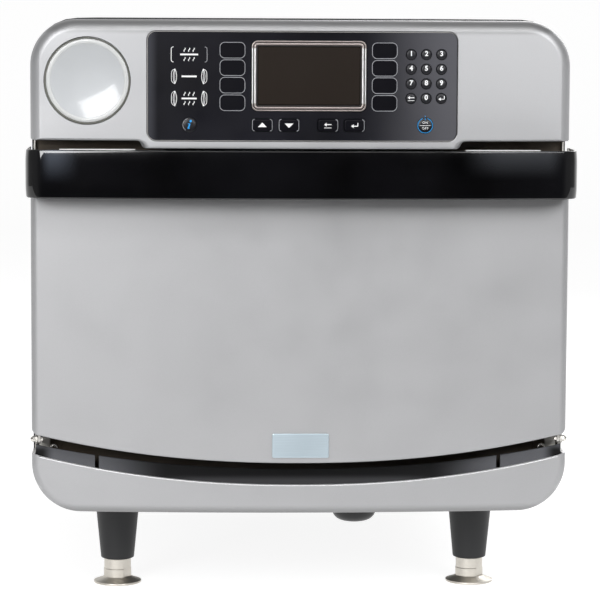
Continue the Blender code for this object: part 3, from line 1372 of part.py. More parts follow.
def levelling_feet():
    """Feet that screw out of the legs: flared base, nut with two flats, collar and stem."""
    half_edge = FLARE_EDGE / 2
    top = LEG_FOOT_Z - SEAM
    profile = [(0, 0), (FLARE_RADIUS - half_edge, 0), (FLARE_RADIUS, half_edge),
               (FLARE_RADIUS - half_edge, FLARE_EDGE), (NUT_RADIUS, FLARE_TOP), (NUT_RADIUS, NUT_TOP),
               (COLLAR_RADIUS, NUT_TOP), (COLLAR_RADIUS, top), (STEM_RADIUS, top), (STEM_RADIUS, STEM_TOP),
               (0, STEM_TOP)]
    for place, x, y in leg_places():
        part = add_part(f"foot_{place}", turned(profile, (x, y, 0), "Z"), STEEL, (x, y, 0))
        flats = []
        for side in (-1, 1):
            xs = sorted((side * (NUT_RADIUS - FLAT_DEPTH), side * (NUT_RADIUS + OVERRUN)))
            flats.append(block((x + xs[0], y - FLAT_WIDTH, FLARE_TOP),
                               (x + xs[1], y + FLAT_WIDTH, NUT_TOP + OVERRUN / 2)))
        cut(part, together(flats))


def filter_knob():
    """Domed knob under the base, its neck through the base pan."""
    top = UNDERSIDE - SEAM
    x, y = KNOB_X, FRONT + KNOB_SET_BACK
    fullness = 2 / KNOB_POWER
    profile = [(0, top - KNOB_HEIGHT)]
    for step in range(1, KNOB_STEPS + 1):
        turn = math.pi / 2 * step / KNOB_STEPS
        drop = KNOB_HEIGHT * math.cos(turn) ** fullness
        profile.append((KNOB_RADIUS * math.sin(turn) ** fullness, top - drop))
    profile += [(KNOB_NECK, top), (KNOB_NECK, BASE_TOP + KNOB_NECK_TOP), (0, BASE_TOP + KNOB_NECK_TOP)]
    add_part("filter_knob", turned(profile, (x, y, 0), "Z"), BLACK_GLOSS, (x, y, top))


def cord_gland():
    """Gland in the rear panel, bored for a mains cord."""
    inside = REAR - SHEET - SEAM
    outside = REAR + SEAM
    profile = [(GLAND_BORE, inside - GLAND_FLANGE_DEPTH), (GLAND_BORE, REAR + GLAND_REACH),
               (GLAND_NOSE, REAR + GLAND_REACH), (GLAND_BODY, outside + GLAND_FLANGE_DEPTH),
               (GLAND_FLANGE, outside + GLAND_FLANGE_DEPTH), (GLAND_FLANGE, outside), (GLAND_BODY, outside),
               (GLAND_BODY, inside), (GLAND_FLANGE, inside), (GLAND_FLANGE, inside - GLAND_FLANGE_DEPTH)]
    add_part("cord_gland", turned(profile, (GLAND_X, 0, GLAND_Z), "Y"), BLACK_MATT)


def build():
    """Make every sub-part."""
    clear_scene()
    casing_wrap()
    rear_panel()
    base_pan()
    front_frame()
    control_hood()
    keypad_overlay()
    keys()
    display_bezel()
    display_window()
    control_board()
    badge_disc()
    badge_lens()
    door_shell()
    door_liner()
    door_gasket()
    door_handle()
    name_plate()
    hinge_pins()
    lower_fascia()
    drip_trough()
    cooking_cavity()
    jet_plate("top_jet_plate", CAVITY_TOP - JET_TOP_DROP, CAVITY_TOP - SEAM)
    jet_plate("bottom_jet_plate", CAVITY_FLOOR + JET_FOOT_LIFT, CAVITY_FLOOR + SEAM)
    oven_rack()
    blower_impeller()
    blower_motor()
    heater_coil()
    waveguide()
    magnetron()
    power_transformer()
    cooling_fan_frame()
    cooling_fan_rotor()
    legs()
    levelling_feet()
    filter_knob()
    cord_gland()


build()
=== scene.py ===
import math

import bmesh
import bpy
from mathutils import Matrix, Vector


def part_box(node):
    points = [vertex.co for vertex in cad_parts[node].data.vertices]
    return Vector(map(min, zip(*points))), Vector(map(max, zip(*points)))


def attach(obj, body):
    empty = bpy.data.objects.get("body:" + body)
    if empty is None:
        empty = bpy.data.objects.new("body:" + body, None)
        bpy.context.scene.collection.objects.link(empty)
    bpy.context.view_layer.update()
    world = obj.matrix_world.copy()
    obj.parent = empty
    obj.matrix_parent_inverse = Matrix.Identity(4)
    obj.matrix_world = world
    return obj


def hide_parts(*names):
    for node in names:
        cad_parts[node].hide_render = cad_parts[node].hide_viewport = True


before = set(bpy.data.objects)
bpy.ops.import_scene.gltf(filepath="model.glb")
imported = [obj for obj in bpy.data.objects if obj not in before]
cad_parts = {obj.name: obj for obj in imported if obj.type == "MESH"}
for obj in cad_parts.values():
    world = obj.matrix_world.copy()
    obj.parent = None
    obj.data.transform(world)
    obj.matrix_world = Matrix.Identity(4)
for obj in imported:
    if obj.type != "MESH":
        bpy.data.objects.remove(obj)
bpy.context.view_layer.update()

# Fineness of the surfaces
ARC_STEP_DEG = 5
STRIPS = 56
EDGE_STEPS = 8
ROUND_SIDES = 72
SHARP_DEG = 34
OVERRUN = 0.004
SEAM = 0.0003
FILLET_SLACK = 0.25
ROUNDING_REACH = 2.2
CUT_TOLERANCE = 0.000003
EDGE_BREAK = 0.3
RIBBON_CREST = 0.6

# Sizes read from the frame
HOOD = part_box("control_hood")
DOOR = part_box("door_shell")
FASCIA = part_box("lower_fascia")
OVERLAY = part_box("keypad_overlay")
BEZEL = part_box("display_bezel")
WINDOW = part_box("display_window")
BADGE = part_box("badge_disc")
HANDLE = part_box("door_handle")
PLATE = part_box("name_plate")
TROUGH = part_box("drip_trough")
FRONT_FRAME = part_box("front_frame")
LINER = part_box("door_liner")
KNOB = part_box("filter_knob")
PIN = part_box("hinge_pin_right")

# Body and bowed mouldings
MOULDING_DEPTH = 0.040
MOULDING_WALL = 0.003
HALF = HOOD[1].x
FRONT = HOOD[1].y - MOULDING_DEPTH
FRONT_BOW = FRONT - HOOD[0].y
HOOD_EDGE = 0.0115
HOOD_INNER_EDGE = 0.0085
HOOD_FOOT_EDGE = 0.002
DOOR_EDGE = 0.0075
DOOR_FOOT_EDGE = 0.0015
DOOR_TOP_EDGE = 0.0015
FASCIA_EDGE = 0.0075
LIP_EDGE = 0.0014
INNER_EDGE = 0.0025
TOP_CORNER = 0.045
BOTTOM_CORNER = 0.048
ARCH_POWER = 2.2

# Control hood
HOOD_TONGUE_STEP = 0.0075
TONGUE_TOP_HALF = 0.1585
TONGUE_FOOT_HALF = 0.1548
TONGUE_FILLET = 0.0045
HOOD_CORNER = 0.002
OPENING_CHAMFER = 0.0005

# Overlay and its printed and embossed marks
OVERLAY_CORNER = 0.0088
OVERLAY_THICKNESS = 0.003
OVERLAY_ROUND = 0.0007
OVERLAY_LINE = 0.0008
OVERLAY_PROUD = FRONT - FRONT_BOW - OVERLAY[0].y
SOFT_KEY_WIDTH = 0.0243
SOFT_KEY_HEIGHT = 0.0152
SOFT_KEY_CORNER = 0.0047
SOFT_KEY_LINE = 0.00065
SOFT_KEY_RISE = 0.0003
SOFT_KEY_COLUMNS = (-0.0677, 0.0803)
SOFT_KEY_ROWS = (0.5549, 0.5380, 0.5211, 0.5040)
ICON_X = -0.1097
ICON_ROWS = (0.5506, 0.5294, 0.5080)
ICON_HALF_WIDTH = 0.0174
ICON_HALF_HEIGHT = 0.0073
HEAT_MARK_PITCH = 0.0044
HEAT_MARK_LIFT = 0.0045
HEAT_MARK_HEIGHT = 0.0037
HEAT_MARK_SWING = 0.0011
HEAT_MARK_WEIGHT = 0.0009
HEAT_MARK_LEAN = 0.5
HEAT_MARK_STEPS = 8
HOOK_BEND = 0.0022
HOOK_STEPS = 6
HOOK_WEIGHT_LEFT = 0.0008
HOOK_WEIGHT_RIGHT = 0.0006
LEAF_INSET = 0.0036
LEAF_STEPS = 10
LEAF_LINES = ((0.0034, 5, 0.0006), (0.0016, 2, 0.0006), (0.0001, 2, 0.0005), (-0.0017, 2, 0.0007))
BAR_WEIGHT = 0.0020
HOOKED_BAR_REACH = 0.5
LEAVED_BAR_REACH = 0.42
PRINT_RISE = 0.00006

# Display
BEZEL_CORNER = 0.0062
BEZEL_RIM = 0.0062
OUTER_BEAD = (0.0, 0.0015)
INNER_BEAD = (0.0022, 0.0045)
BEAD_SETBACK = 0.0004
BEAD_STEPS = 8
BEZEL_SEAT = 0.0012

# Keys
KEY_GAP = 0.0003
KEY_PROUD = 0.0012
KEY_SKIRT = 0.0022
NAV_CORNER = 0.003
NAV_SHOULDER = 0.0024
DOME_STEPS = 9
DOME_POWER = 2.4
DOME_CLOSING = 0.999
ROUND_DOME_POWER = 4.5
KEY_LINE = 0.0006
KEY_LINE_INSET = 0.0007
KEY_LINE_REACH = 0.0030
KEY_LINE_SINK = 0.0005
KEY_LINE_RISE = 0.0003
DIGIT_HEIGHT = 0.0066
DIGIT_DEPTH = 0.00016
DIGIT_WEIGHT = 0.00020
DIGIT_LIFT = 0.0008
WORD_HEIGHT = 0.0034
WORD_WEIGHT = 0.0
LETTER_SPACING = 1.12
WORD_LIFT = 0.0028
DIGIT_PROUD = 0.3
LETTER_FINENESS = 6
POWER_TICK = 0.0014
POWER_TICK_FOOT = 0.72
POWER_TICK_LIFT = 4 * PRINT_RISE
POWER_LINE = 0.0007
POWER_RING_SHARE = 0.93
POWER_RING_SINK = 0.55
POWER_RING_RISE = 3 * PRINT_RISE
POWER_RING_TURN = (108, 432, 40)
POWER_BAR_HALF = 0.0052
POWER_BAR_WEIGHT = 0.0006

# Marks on the keys, as points (across, up) about the key's middle
NAV_MARK_SIZE = 1.15
SHAFT_WEIGHT = 0.0009
BACK_HEAD = ((-0.0031, 0.0007), (-0.001085, -0.0010), (-0.001085, 0.0024))
BACK_SHAFT = ((-0.00124, 0.0007), (0.0031, 0.0007))
BACK_BAR = ((-0.0031, -0.0021), (0.0031, -0.0021))
BACK_BAR_WEIGHT = 0.0006
ENTER_BEND = ((0.0029, 0.0022), (0.0029, -0.0006), (-0.00087, -0.0006))
ENTER_HEAD = ((-0.0029, -0.0006), (-0.00058, -0.0022), (-0.00058, 0.0010))
TRIANGLE = ((-0.0043, -0.0018), (0.0043, -0.0018), (0.0, 0.0026))
INFO_STROKES = (
    (((-0.0011, -0.0036), (0.0005, 0.0013)), 0.0019),
    (((-0.0014, 0.0011), (0.0007, 0.0013)), 0.0008),
    (((-0.0015, -0.0036), (0.0005, -0.0034)), 0.0008),
)
INFO_DOT = (0.0013, 0.0037)
INFO_DOT_RADIUS = 0.0012
INFO_DOT_SIDES = 16
# Arc of the info key's painted highlight: first and last angle in degrees, steps.
INFO_HIGHLIGHT_ARC = (105, 235, 20)

# Round badge
BADGE_RING = 0.0404
BADGE_FACE = 0.0362
BADGE_RING_RISE = 0.0007
BADGE_DEPTH = 0.0046
BADGE_THICKNESS = 0.0014
BADGE_DISH = 0.004
BADGE_DISH_RISE = 0.0034
BADGE_STEPS = 12
RING_STEPS = 10
COVER_GAP = 4 * SEAM
COVER_EDGE_STEPS = 8
LENS_EDGE = 0.0022
LENS_DOME = 0.0007
LENS_PROUD = 0.0009
COVER_ALPHA = 0.10
COVER_IOR = 1.47
COVER_TONE = (0.66, 0.67, 0.65)
COVER_GRAIN = (60.0, 0.01, 0.01)
COVER_ROUGHNESS = (0.01, 0.035)
COVER_MARKS_SCALE = 40.0

# Door
DOOR_FOOT_RISE = 0.0272
DOOR_FOOT_CORNER = 0.0065
DOOR_TOP_CORNER = 0.002
DOOR_WALL = 0.003
NOTCH_GAP = 0.001
NOTCH_DEPTH = 0.0035
NOTCH_TOP = 0.19
TOP_STRIP_REACH = (0.1625, 0.2367)
TOP_STRIP_SET_BACK = 0.010
TOP_STRIP_SHEET = 0.0012
TOP_STRIP_FOOT = 0.008
TOP_STRIP_TOP = 0.4577
PLATE_CORNER = 0.0012
PLATE_EDGE = 0.0005
PLATE_BORDER = 0.0016

# Handle
HANDLE_THICKNESS = 0.0028
HANDLE_BEND = 0.020
HANDLE_EDGE = 0.0012
HANDLE_CROWN = 0.0008
HANDLE_CROWN_REACH = 0.014
HANDLE_CROWN_POWER = 2.3
HANDLE_STRIPS = 64
HANDLE_BEND_STEPS = 12
HANDLE_EDGE_STEPS = 6
HANDLE_CROWN_STEPS = 7
HANDLE_ARM_END = 0.026
HANDLE_SCREW_BACK = 0.014
HANDLE_SCREW_INSET = 0.016

# Fascia and trough
LIP_RISE = 0.0287
TROUGH_RISE = 0.0255
TROUGH_SET_BACK = 0.018
TROUGH_WALL = 0.0025
TROUGH_SLOTS = (-0.2010, 0.1993)
TROUGH_SLOT_WIDTH = 0.004
TROUGH_SLOT_FOOT = 0.122
TROUGH_FLOOR_LIFT = 0.0065
TROUGH_FLOOR = 0.002
TROUGH_FLOOR_HALF = 0.20

# Hinge and frame
FRAME_THICKNESS = 0.002
HINGE_SET_BACK = 0.009
HINGE_EYE = 0.0046
TAB_SCREW_X = 0.2448
TAB_SCREW_DROP = 0.0135
TAB_THICKNESS = 0.002
SCREW_RADIUS = 0.0043
SCREW_CROWN = 0.0019
TAB_SCREW_CROWN = 0.0024
SCREW_RECESS = 0.0011
SCREW_SINK = 0.0004
SCREW_NECK = 0.98
SCREW_RIM = 0.25
SCREW_FLAT = 0.45
SCREW_SIDES = 28
SCREW_STEPS = 8
CROSS_LENGTH = 0.0046
CROSS_WIDTH = 0.0009

# Legs and feet
LEG_TOP_RADIUS = 0.0241
LEG_FOOT_RADIUS = 0.0171
LEG_ROUND = 0.0012
LEG_BORE = 0.030
STEM_RADIUS = 0.006
STEM_TOP = 0.058
COLLAR_RADIUS = 0.0139
NUT_RADIUS = 0.0143
NUT_TOP = 0.0155
FLARE_TOP = 0.0068
FLARE_RADIUS = 0.0246
FLARE_RIM = ((0.0009, 0), (0.0002, 0.0004), (0, 0.0011), (0.0003, 0.0019))
FLARE_FOOT = 0.0024
FLARE_POWER = 1.35
FLARE_STEPS = 8
FLAT_DEPTH = 0.0018
FLAT_WIDTH = 0.009
FLAT_SPARE = 0.001
FOOT_CHAMFER = 0.0006
FLAT_TURN = math.radians(-35)
KNOB_POWER = 3.3
KNOB_STEPS = 22
KNOB_STEM = 0.005

# Camera
LENS_LENGTH = 167.887
SENSOR = 36
CAMERA_PLACE = (-0.1116, -3.04006, 0.588)
CAMERA_PITCH = 0.10109
CAMERA_YAW = 0.04056
CAMERA_ROLL = 0.00466

# Places worked out from the sizes above
BADGE_RADIUS = (BADGE[1].z - BADGE[0].z) / 2
HOOD_END = HOOD[0].z + HOOD_TONGUE_STEP
FRAME_FACE = FRONT_FRAME[1].y - FRAME_THICKNESS
HINGE_Y = FRONT + HINGE_SET_BACK
HINGE_Z = (PIN[0].z + PIN[1].z) / 2

# Studio
FLOOR_HALF = 5.4
FLOOR_NEAR = -1.2
FLOOR_DROP = 0.0002
FLOOR_SHADE = 0.35
FLOOR_GLOW = 0.90
BACKDROP_Y = 6.5
BACKDROP_CURVE = 1.8
BACKDROP_TOP = 9.5
BACKDROP_STEPS = 12
AHEAD = (-0.97, -0.55)
AHEAD_LEVELS = (0.03, 0.30)
BEHIND = (0.25, 0.60)
CLIP = (0.1, 60)

# Soft boxes: name, place, target, width, height, power, roll in degrees
LAMPS = (
    ("soft_box_left", (-1.35, -3.1, 1.25), (-0.05, -0.28, 0.36), 1.3, 1.0, 51, 28),
    ("soft_box_right", (1.45, -3.0, 1.60), (0.05, -0.28, 0.36), 1.3, 1.1, 46, 0),
    ("soft_box_top", (-0.15, -2.15, 2.0), (0.0, -0.28, 0.36), 1.5, 0.5, 15, 0),
    ("soft_box_back", (0.8, 1.45, 1.5), (0.0, 0.3, 0.3), 1.4, 1.0, 22, 0),
)

# Finishes: grain is (speckle scale, contrast, drift), brush lines stretch along one axis
MARKS_SCALE = 20.0
MARKS_CONTRAST = 2.2
HEAT_PATCHES = (0.42, 0.66)
BUMP_DISTANCE = 0.0002
PAINT_GRAIN = (1500.0, 0.06, 0.02)
PLASTIC_GRAIN = (900.0, 0.12, 0.05)
INK_GRAIN = (2000.0, 0.03, 0.02)
ACROSSWAYS = (30.0, 2600.0, 2600.0)
UPRIGHT = (2600.0, 2600.0, 30.0)
TURNED = (500.0, 500.0, 3500.0)
SILVER = (0.455, 0.456, 0.466)
# The hood's silver is the door's silver made lighter: painted light.
HOOD_SILVER_PAINTED_LIGHTER = (0.500, 0.503, 0.515)

# Zones of another colour: (colour, [(axis, where it starts, where it is full), ...]); all but the frame
# flanges are painted light and shade
# Upper left of the hood made darker: painted shade against the left soft box's light.
HOOD_UPPER_LEFT_PAINTED_SHADE = ((0.435, 0.438, 0.450), [("ACROSS", -0.0500, -0.1400), ("Z", 0.4700, 0.5300)])
# Darker band under the hood's rounded top edge: painted shade.
HOOD_TOP_BAND_PAINTED_SHADE = ((0.30, 0.301, 0.306), [("Z", HOOD[1].z - 0.0150, HOOD[1].z - 0.0085)])
# Pale line along the fascia's lip where it faces up: painted highlight.
LIP_TOP_PAINTED_HIGHLIGHT = ((0.90, 0.90, 0.91), [("TILT", 0.25, 0.60), ("Z", 0.1200, 0.1260)])
# Darker foot of the fascia: painted shade.
FASCIA_FOOT_PAINTED_SHADE = ((0.34, 0.341, 0.345), [("Z", 0.1090, 0.1020)])
# Lighter left end of the overlay: painted sheen.
OVERLAY_LEFT_END_PAINTED_SHEEN = ((0.042, 0.043, 0.052), [("ACROSS", -0.1390, -0.1490)])
# Lighter right half of the overlay: painted sheen.
OVERLAY_RIGHT_HALF_PAINTED_SHEEN = ((0.100, 0.100, 0.113), [("ACROSS", 0.0500, 0.1560)])
# Darker right end of the overlay's edge line: painted shadow.
OVERLAY_LINE_RIGHT_PAINTED_SHADOW = ((0.020, 0.020, 0.022), [("ACROSS", 0.1440, 0.1500)])
# Warm brown upper and lower bars of the chrome bezel: painted reflection.
BEZEL_UPPER_BAR_PAINTED_REFLECTION = ((0.46, 0.405, 0.385), [("Z", BEZEL[1].z - 0.0085, BEZEL[1].z - 0.0065)])
BEZEL_LOWER_BAR_PAINTED_REFLECTION = ((0.46, 0.405, 0.385), [("Z", BEZEL[0].z + 0.0085, BEZEL[0].z + 0.0065)])
# Lighter patches along the handle's upper edge near both ends: painted highlights.
HANDLE_RIGHT_PAINTED_HIGHLIGHT = ((0.036, 0.038, 0.043), [("ACROSS", 0.1500, 0.1950), ("ACROSS", 0.2540, 0.2360),
                                             ("Z", 0.4300, 0.4580)])
HANDLE_LEFT_PAINTED_HIGHLIGHT = ((0.065, 0.073, 0.090), [("ACROSS", -0.2120, -0.2400), ("ACROSS", -0.2540, -0.2420),
                                            ("Z", 0.4250, 0.4590)])
# Darker middle of the trough under the door: painted shade.
TROUGH_MIDDLE_PAINTED_SHADE = ((0.009, 0.009, 0.010), [("X", 0.2000, 0.1300)])
# Lighter lower middle of the trough, where the painted shade fades: painted light.
TROUGH_MIDDLE_FOOT_PAINTED_LIGHT = ((0.060, 0.060, 0.064), [("X", 0.1500, 0.1000), ("Z", 0.1340, 0.1270)])
# Near black ends of the trough: painted shadow.
TROUGH_ENDS_PAINTED_SHADOW = ((0.006, 0.006, 0.006), [("X", 0.2420, 0.2560), ("Z", 0.1660, 0.1570)])
FRAME_FLANGES = ((0.70, 0.68, 0.64), [("Y", FRAME_FACE - 0.001, FRAME_FACE - 0.002), ("X", 0.2475, 0.2500)])

# Bodies and names
OVEN = "oven_body"
DIGIT_KEYS = ("key_1", "key_2", "key_3", "key_4", "key_5", "key_6", "key_7", "key_8", "key_9", "key_0")
ROUND_KEYS = DIGIT_KEYS + ("key_back", "key_enter", "info_key", "power_key")
NAV_KEYS = ("nav_up_key", "nav_down_key", "nav_back_key", "nav_enter_key")
PLACES = ("front_left", "front_right", "rear_left", "rear_right")


def arc(centre, radius, first_deg, last_deg, steps=12):
    """Points (x, z) along a circular arc."""
    points = []
    for step in range(steps + 1):
        turn = math.radians(first_deg + (last_deg - first_deg) * step / steps)
        points.append((centre[0] + radius * math.cos(turn), centre[1] + radius * math.sin(turn)))
    return points


def filleted(corners):
    """Points of an outline whose corners are given as (across, up, fillet radius)."""
    points = []
    for index, (across, up, radius) in enumerate(corners):
        here = Vector((across, up))
        if radius == 0:
            points.append(here)
            continue
        before = (Vector(corners[index - 1][:2]) - here).normalized()
        after = (Vector(corners[(index + 1) % len(corners)][:2]) - here).normalized()
        half_angle = before.angle(after) / 2
        centre = here + (before + after).normalized() * radius / math.sin(half_angle)
        start = here + before * radius / math.tan(half_angle) - centre
        end = here + after * radius / math.tan(half_angle) - centre
        first = math.atan2(start.y, start.x)
        sweep = math.remainder(math.atan2(end.y, end.x) - first, math.tau)
        steps = max(2, math.ceil(abs(math.degrees(sweep)) / ARC_STEP_DEG - FILLET_SLACK))
        for step in range(steps + 1):
            angle = first + sweep * step / steps
            points.append(centre + radius * Vector((math.cos(angle), math.sin(angle))))
    return points


def drawn_from(corners):
    """Outline as moulding() takes it: moved in by a step at its sides, its foot and its top."""
    return lambda side, low, high: inset(corners, side, low, high)


def rectangle(left, right, low, high, radius=0):
    """Corners of a rectangle with round corners."""
    return [(left, low, radius), (right, low, radius), (right, high, radius), (left, high, radius)]


def circle(across, up, radius, sides=ROUND_SIDES):
    """Corners of a circle."""
    turns = [math.tau * side / sides for side in range(sides)]
    return [(across + radius * math.cos(turn), up + radius * math.sin(turn), 0) for turn in turns]


def inset(corners, distance, low=None, high=None):
    """Move corners inwards; low and high give lower and upper edges a distance of their own."""
    moved = []
    for index, (across, up, radius) in enumerate(corners):
        here = Vector((across, up))
        before = (here - Vector(corners[index - 1][:2])).normalized()
        after = (Vector(corners[(index + 1) % len(corners)][:2]) - here).normalized()
        first = Vector((before.y, -before.x))
        second = Vector((after.y, -after.x))
        step = -distance * (first + second) / (1 + first.dot(second))
        if step.y > 0 and low is not None and distance:
            step.y *= low / distance
        if step.y < 0 and high is not None and distance:
            step.y *= high / distance
        if radius > 0:
            radius = max(radius - math.copysign(distance, before.cross(after)), SEAM)
        moved.append((across + step.x, up + step.y, radius))
    return moved


PLANES = {
    "X": lambda along, across, up: (along, across, up),
    "Y": lambda along, across, up: (across, along, up),
    "Z": lambda along, across, up: (across, up, along),
}


def loft(rings, closed=False):
    """Surface through rings of equally many points: closed into a loop, or capped at both ends."""
    shape = bmesh.new()
    loops = [[shape.verts.new(point) for point in ring] for ring in rings]
    pairs = list(zip(loops, loops[1:]))
    if closed:
        pairs.append((loops[-1], loops[0]))
    for low, high in pairs:
        for index in range(len(low)):
            shape.faces.new((low[index - 1], low[index], high[index], high[index - 1]))
    if not closed:
        shape.faces.new(loops[0])
        shape.faces.new(loops[-1])
    return shape


def prism(corners, axis, low, high):
    """Outline extruded along an axis."""
    place = PLANES[axis]
    return loft([[place(level, *point) for point in filleted(corners)] for level in (low, high)])


def stepped(levels, closed=False):
    """Solid along Y through outlines given as (corners, depth)."""
    return loft([[(x, depth, z) for x, z in filleted(corners)] for corners, depth in levels], closed)


def block(low, high):
    """Box between two corners."""
    return prism(rectangle(low[0], high[0], low[2], high[2]), "Y", low[1], high[1])


def turned(profile, centre, axis, sides=ROUND_SIDES):
    """Solid turned about an axis, from (radius, height) points; a profile off the axis is a closed loop."""
    shape = bmesh.new()
    place = PLANES[axis]
    solid = profile[0][0] == 0
    rings = []
    for radius, height in profile:
        if radius == 0:
            rings.append([shape.verts.new(Vector(centre) + Vector(place(height, 0, 0)))] * sides)
            continue
        spots = [place(height, across, up) for across, up, _ in circle(0, 0, radius, sides)]
        rings.append([shape.verts.new(Vector(centre) + Vector(spot)) for spot in spots])
    for low, high in zip(rings, rings[1:] if solid else rings[1:] + rings[:1]):
        for index in range(sides):
            shape.faces.new(tuple(dict.fromkeys((low[index - 1], low[index], high[index], high[index - 1]))))
    return shape


def rounded(profile, radius, steps=4):
    """A turned profile with its outer corners rounded."""
    points = [profile[0]]
    for before, here, after in zip(profile, profile[1:], profile[2:]):
        here_at = Vector(here)
        back, forth = Vector(before) - here_at, Vector(after) - here_at
        reach = min(radius, back.length / ROUNDING_REACH, forth.length / ROUNDING_REACH)
        start, end = here_at + back.normalized() * reach, here_at + forth.normalized() * reach
        for step in range(steps + 1):
            share = step / steps
            spot = start * (1 - share) ** 2 + here_at * 2 * share * (1 - share) + end * share ** 2
            points.append((max(spot.x, 0), spot.y))
    return points + [profile[-1]]


def together(shapes):
    """Several separate shapes as one."""
    whole = bmesh.new()
    for shape in shapes:
        mesh = bpy.data.meshes.new("piece")
        bmesh.ops.recalc_face_normals(shape, faces=shape.faces)
        shape.to_mesh(mesh)
        shape.free()
        whole.from_mesh(mesh)
        bpy.data.meshes.remove(mesh)
    return whole


def loose(name, shape):
    """A shape as an object that rides on nothing yet."""
    bmesh.ops.recalc_face_normals(shape, faces=shape.faces)
    mesh = bpy.data.meshes.new(name)
    shape.to_mesh(mesh)
    shape.free()
    item = bpy.data.objects.new(name, mesh)
    bpy.context.scene.collection.objects.link(item)
    return item


def carved(shape, tool):
    """The shape with a tool shape cut out of it."""
    base, cutter = loose("base", shape), loose("tool", tool)
    modifier = base.modifiers.new("shape", "BOOLEAN")
    modifier.object = cutter
    modifier.operation = "DIFFERENCE"
    modifier.solver = "EXACT"
    result = bmesh.new()
    evaluated = base.evaluated_get(bpy.context.evaluated_depsgraph_get())
    result.from_mesh(evaluated.to_mesh())
    evaluated.to_mesh_clear()
    for item in (base, cutter):
        mesh = item.data
        bpy.data.objects.remove(item)
        bpy.data.meshes.remove(mesh)
    return result


def bow(x):
    """How far the front stands forward of its corners at x."""
    return FRONT_BOW * (1 - (x / HALF) ** 2)


def face(x):
    """Depth of the front's surface at x."""
    return FRONT - bow(x)


def bowed(shape, flat_back=None):
    """Bend a shape to the front's bow; what lies at flat_back stays flat."""
    xs = [vert.co.x for vert in shape.verts]
    low, high = min(xs), max(xs)
    for strip in range(1, STRIPS):
        edge = HALF * (2 * strip / STRIPS - 1)
        if low < edge < high:
            parts = list(shape.verts) + list(shape.edges) + list(shape.faces)
            bmesh.ops.bisect_plane(shape, geom=parts, dist=CUT_TOLERANCE, plane_co=(edge, 0, 0),
                                   plane_no=(1, 0, 0))
    for vert in shape.verts:
        if flat_back is None or vert.co.y < flat_back - SEAM:
            vert.co.y -= bow(vert.co.x)
    return shape


def drawn_in(radius, depth):
    """How far a quarter round has drawn in at a depth behind its front."""
    if depth >= radius:
        return 0
    return radius - math.sqrt(radius ** 2 - (radius - depth) ** 2)


def moulding(drawn, front, back, edge, foot_edge=None, top_edge=None):
    """Bowed block with a rounded front edge and a flat back; drawn gives its outline for steps inwards."""
    foot_edge = edge if foot_edge is None else foot_edge
    top_edge = edge if top_edge is None else top_edge
    levels = [(drawn(0, 0, 0), back)]
    for step in range(EDGE_STEPS + 1):
        depth = edge * (1 - math.sin(math.pi / 2 * step / EDGE_STEPS))
        ring = drawn(drawn_in(edge, depth), drawn_in(foot_edge, depth), drawn_in(top_edge, depth))
        levels.append((ring, front + depth))
    return bowed(stepped(levels), back)


def arched(x, middle, rise):
    """Height at x of an edge that rises from the middle towards the body's sides."""
    return middle + rise * abs(x / HALF) ** ARCH_POWER


def across():
    """Places across the front, from left to right, where an arched edge has its points."""
    return [HALF * (2 * strip / STRIPS - 1) for strip in range(STRIPS + 1)]


def ribbon(points, width, front, rise, closed=False):
    """Raised line along points (x, z): it starts behind the front and stands out by its rise."""
    sections = []
    count = len(points)
    base, crest = front + rise, front - rise
    for index, point in enumerate(points):
        here = Vector(point)
        before = Vector(points[index - 1]) if closed or index else here
        after = Vector(points[(index + 1) % count]) if closed or index < count - 1 else here
        along = (after - before).normalized()
        out = Vector((along.y, -along.x)) * width / 2
        section = []
        for share, level in ((1, base), (RIBBON_CREST, crest), (-RIBBON_CREST, crest), (-1, base)):
            section.append((here.x + share * out.x, level, here.y + share * out.y))
        sections.append(section)
    return loft(sections, closed)


def printed(outline, front, rise=PRINT_RISE):
    """Flat printed field with corners (x, z, radius)."""
    return prism(outline, "Y", front - rise, front + rise)


def lettering(text, height, centre, front, weight=DIGIT_WEIGHT):
    """Digits or a plain word, standing out of a surface that faces the front."""
    curve = bpy.data.curves.new("lettering", "FONT")
    curve.body = text
    curve.size = height
    curve.align_x = "CENTER"
    curve.align_y = "CENTER"
    curve.extrude = DIGIT_DEPTH / 2
    curve.offset = weight
    curve.space_character = LETTER_SPACING
    curve.resolution_u = LETTER_FINENESS
    item = bpy.data.objects.new("lettering", curve)
    bpy.context.scene.collection.objects.link(item)
    shape = bmesh.new()
    evaluated = item.evaluated_get(bpy.context.evaluated_depsgraph_get())
    shape.from_mesh(evaluated.to_mesh())
    evaluated.to_mesh_clear()
    bpy.data.objects.remove(item)
    bpy.data.curves.remove(curve)
    place = Matrix.Translation((centre[0], front, centre[1])) @ Matrix.Rotation(math.pi / 2, 4, "X")
    bmesh.ops.transform(shape, matrix=place, verts=shape.verts)
    return shape


def new_group(name, inputs, outputs):
    """Node group with named inputs (name, kind, value) and outputs (name, kind)."""
    group = bpy.data.node_groups.new(name, "ShaderNodeTree")
    for title, kind, value in inputs:
        entry = group.interface.new_socket(name=title, in_out="INPUT", socket_type=kind)
        if value is not None:
            entry.default_value = value
    for title, kind in outputs:
        group.interface.new_socket(name=title, in_out="OUTPUT", socket_type=kind)
    return group, group.nodes.new("NodeGroupInput").outputs, group.nodes.new("NodeGroupOutput").inputs


def feed(tree, value, entry):
    """Link a socket to an entry, or set a plain value there."""
    if isinstance(value, bpy.types.NodeSocket):
        tree.links.new(value, entry)
    else:
        entry.default_value = value


def maths(tree, operation, first, second=None, third=None):
    """Math node fed by sockets or numbers."""
    node = tree.nodes.new("ShaderNodeMath")
    node.operation = operation
    for index, value in enumerate((first, second, third)):
        if value is not None:
            feed(tree, value, node.inputs[index])
    return node.outputs[0]


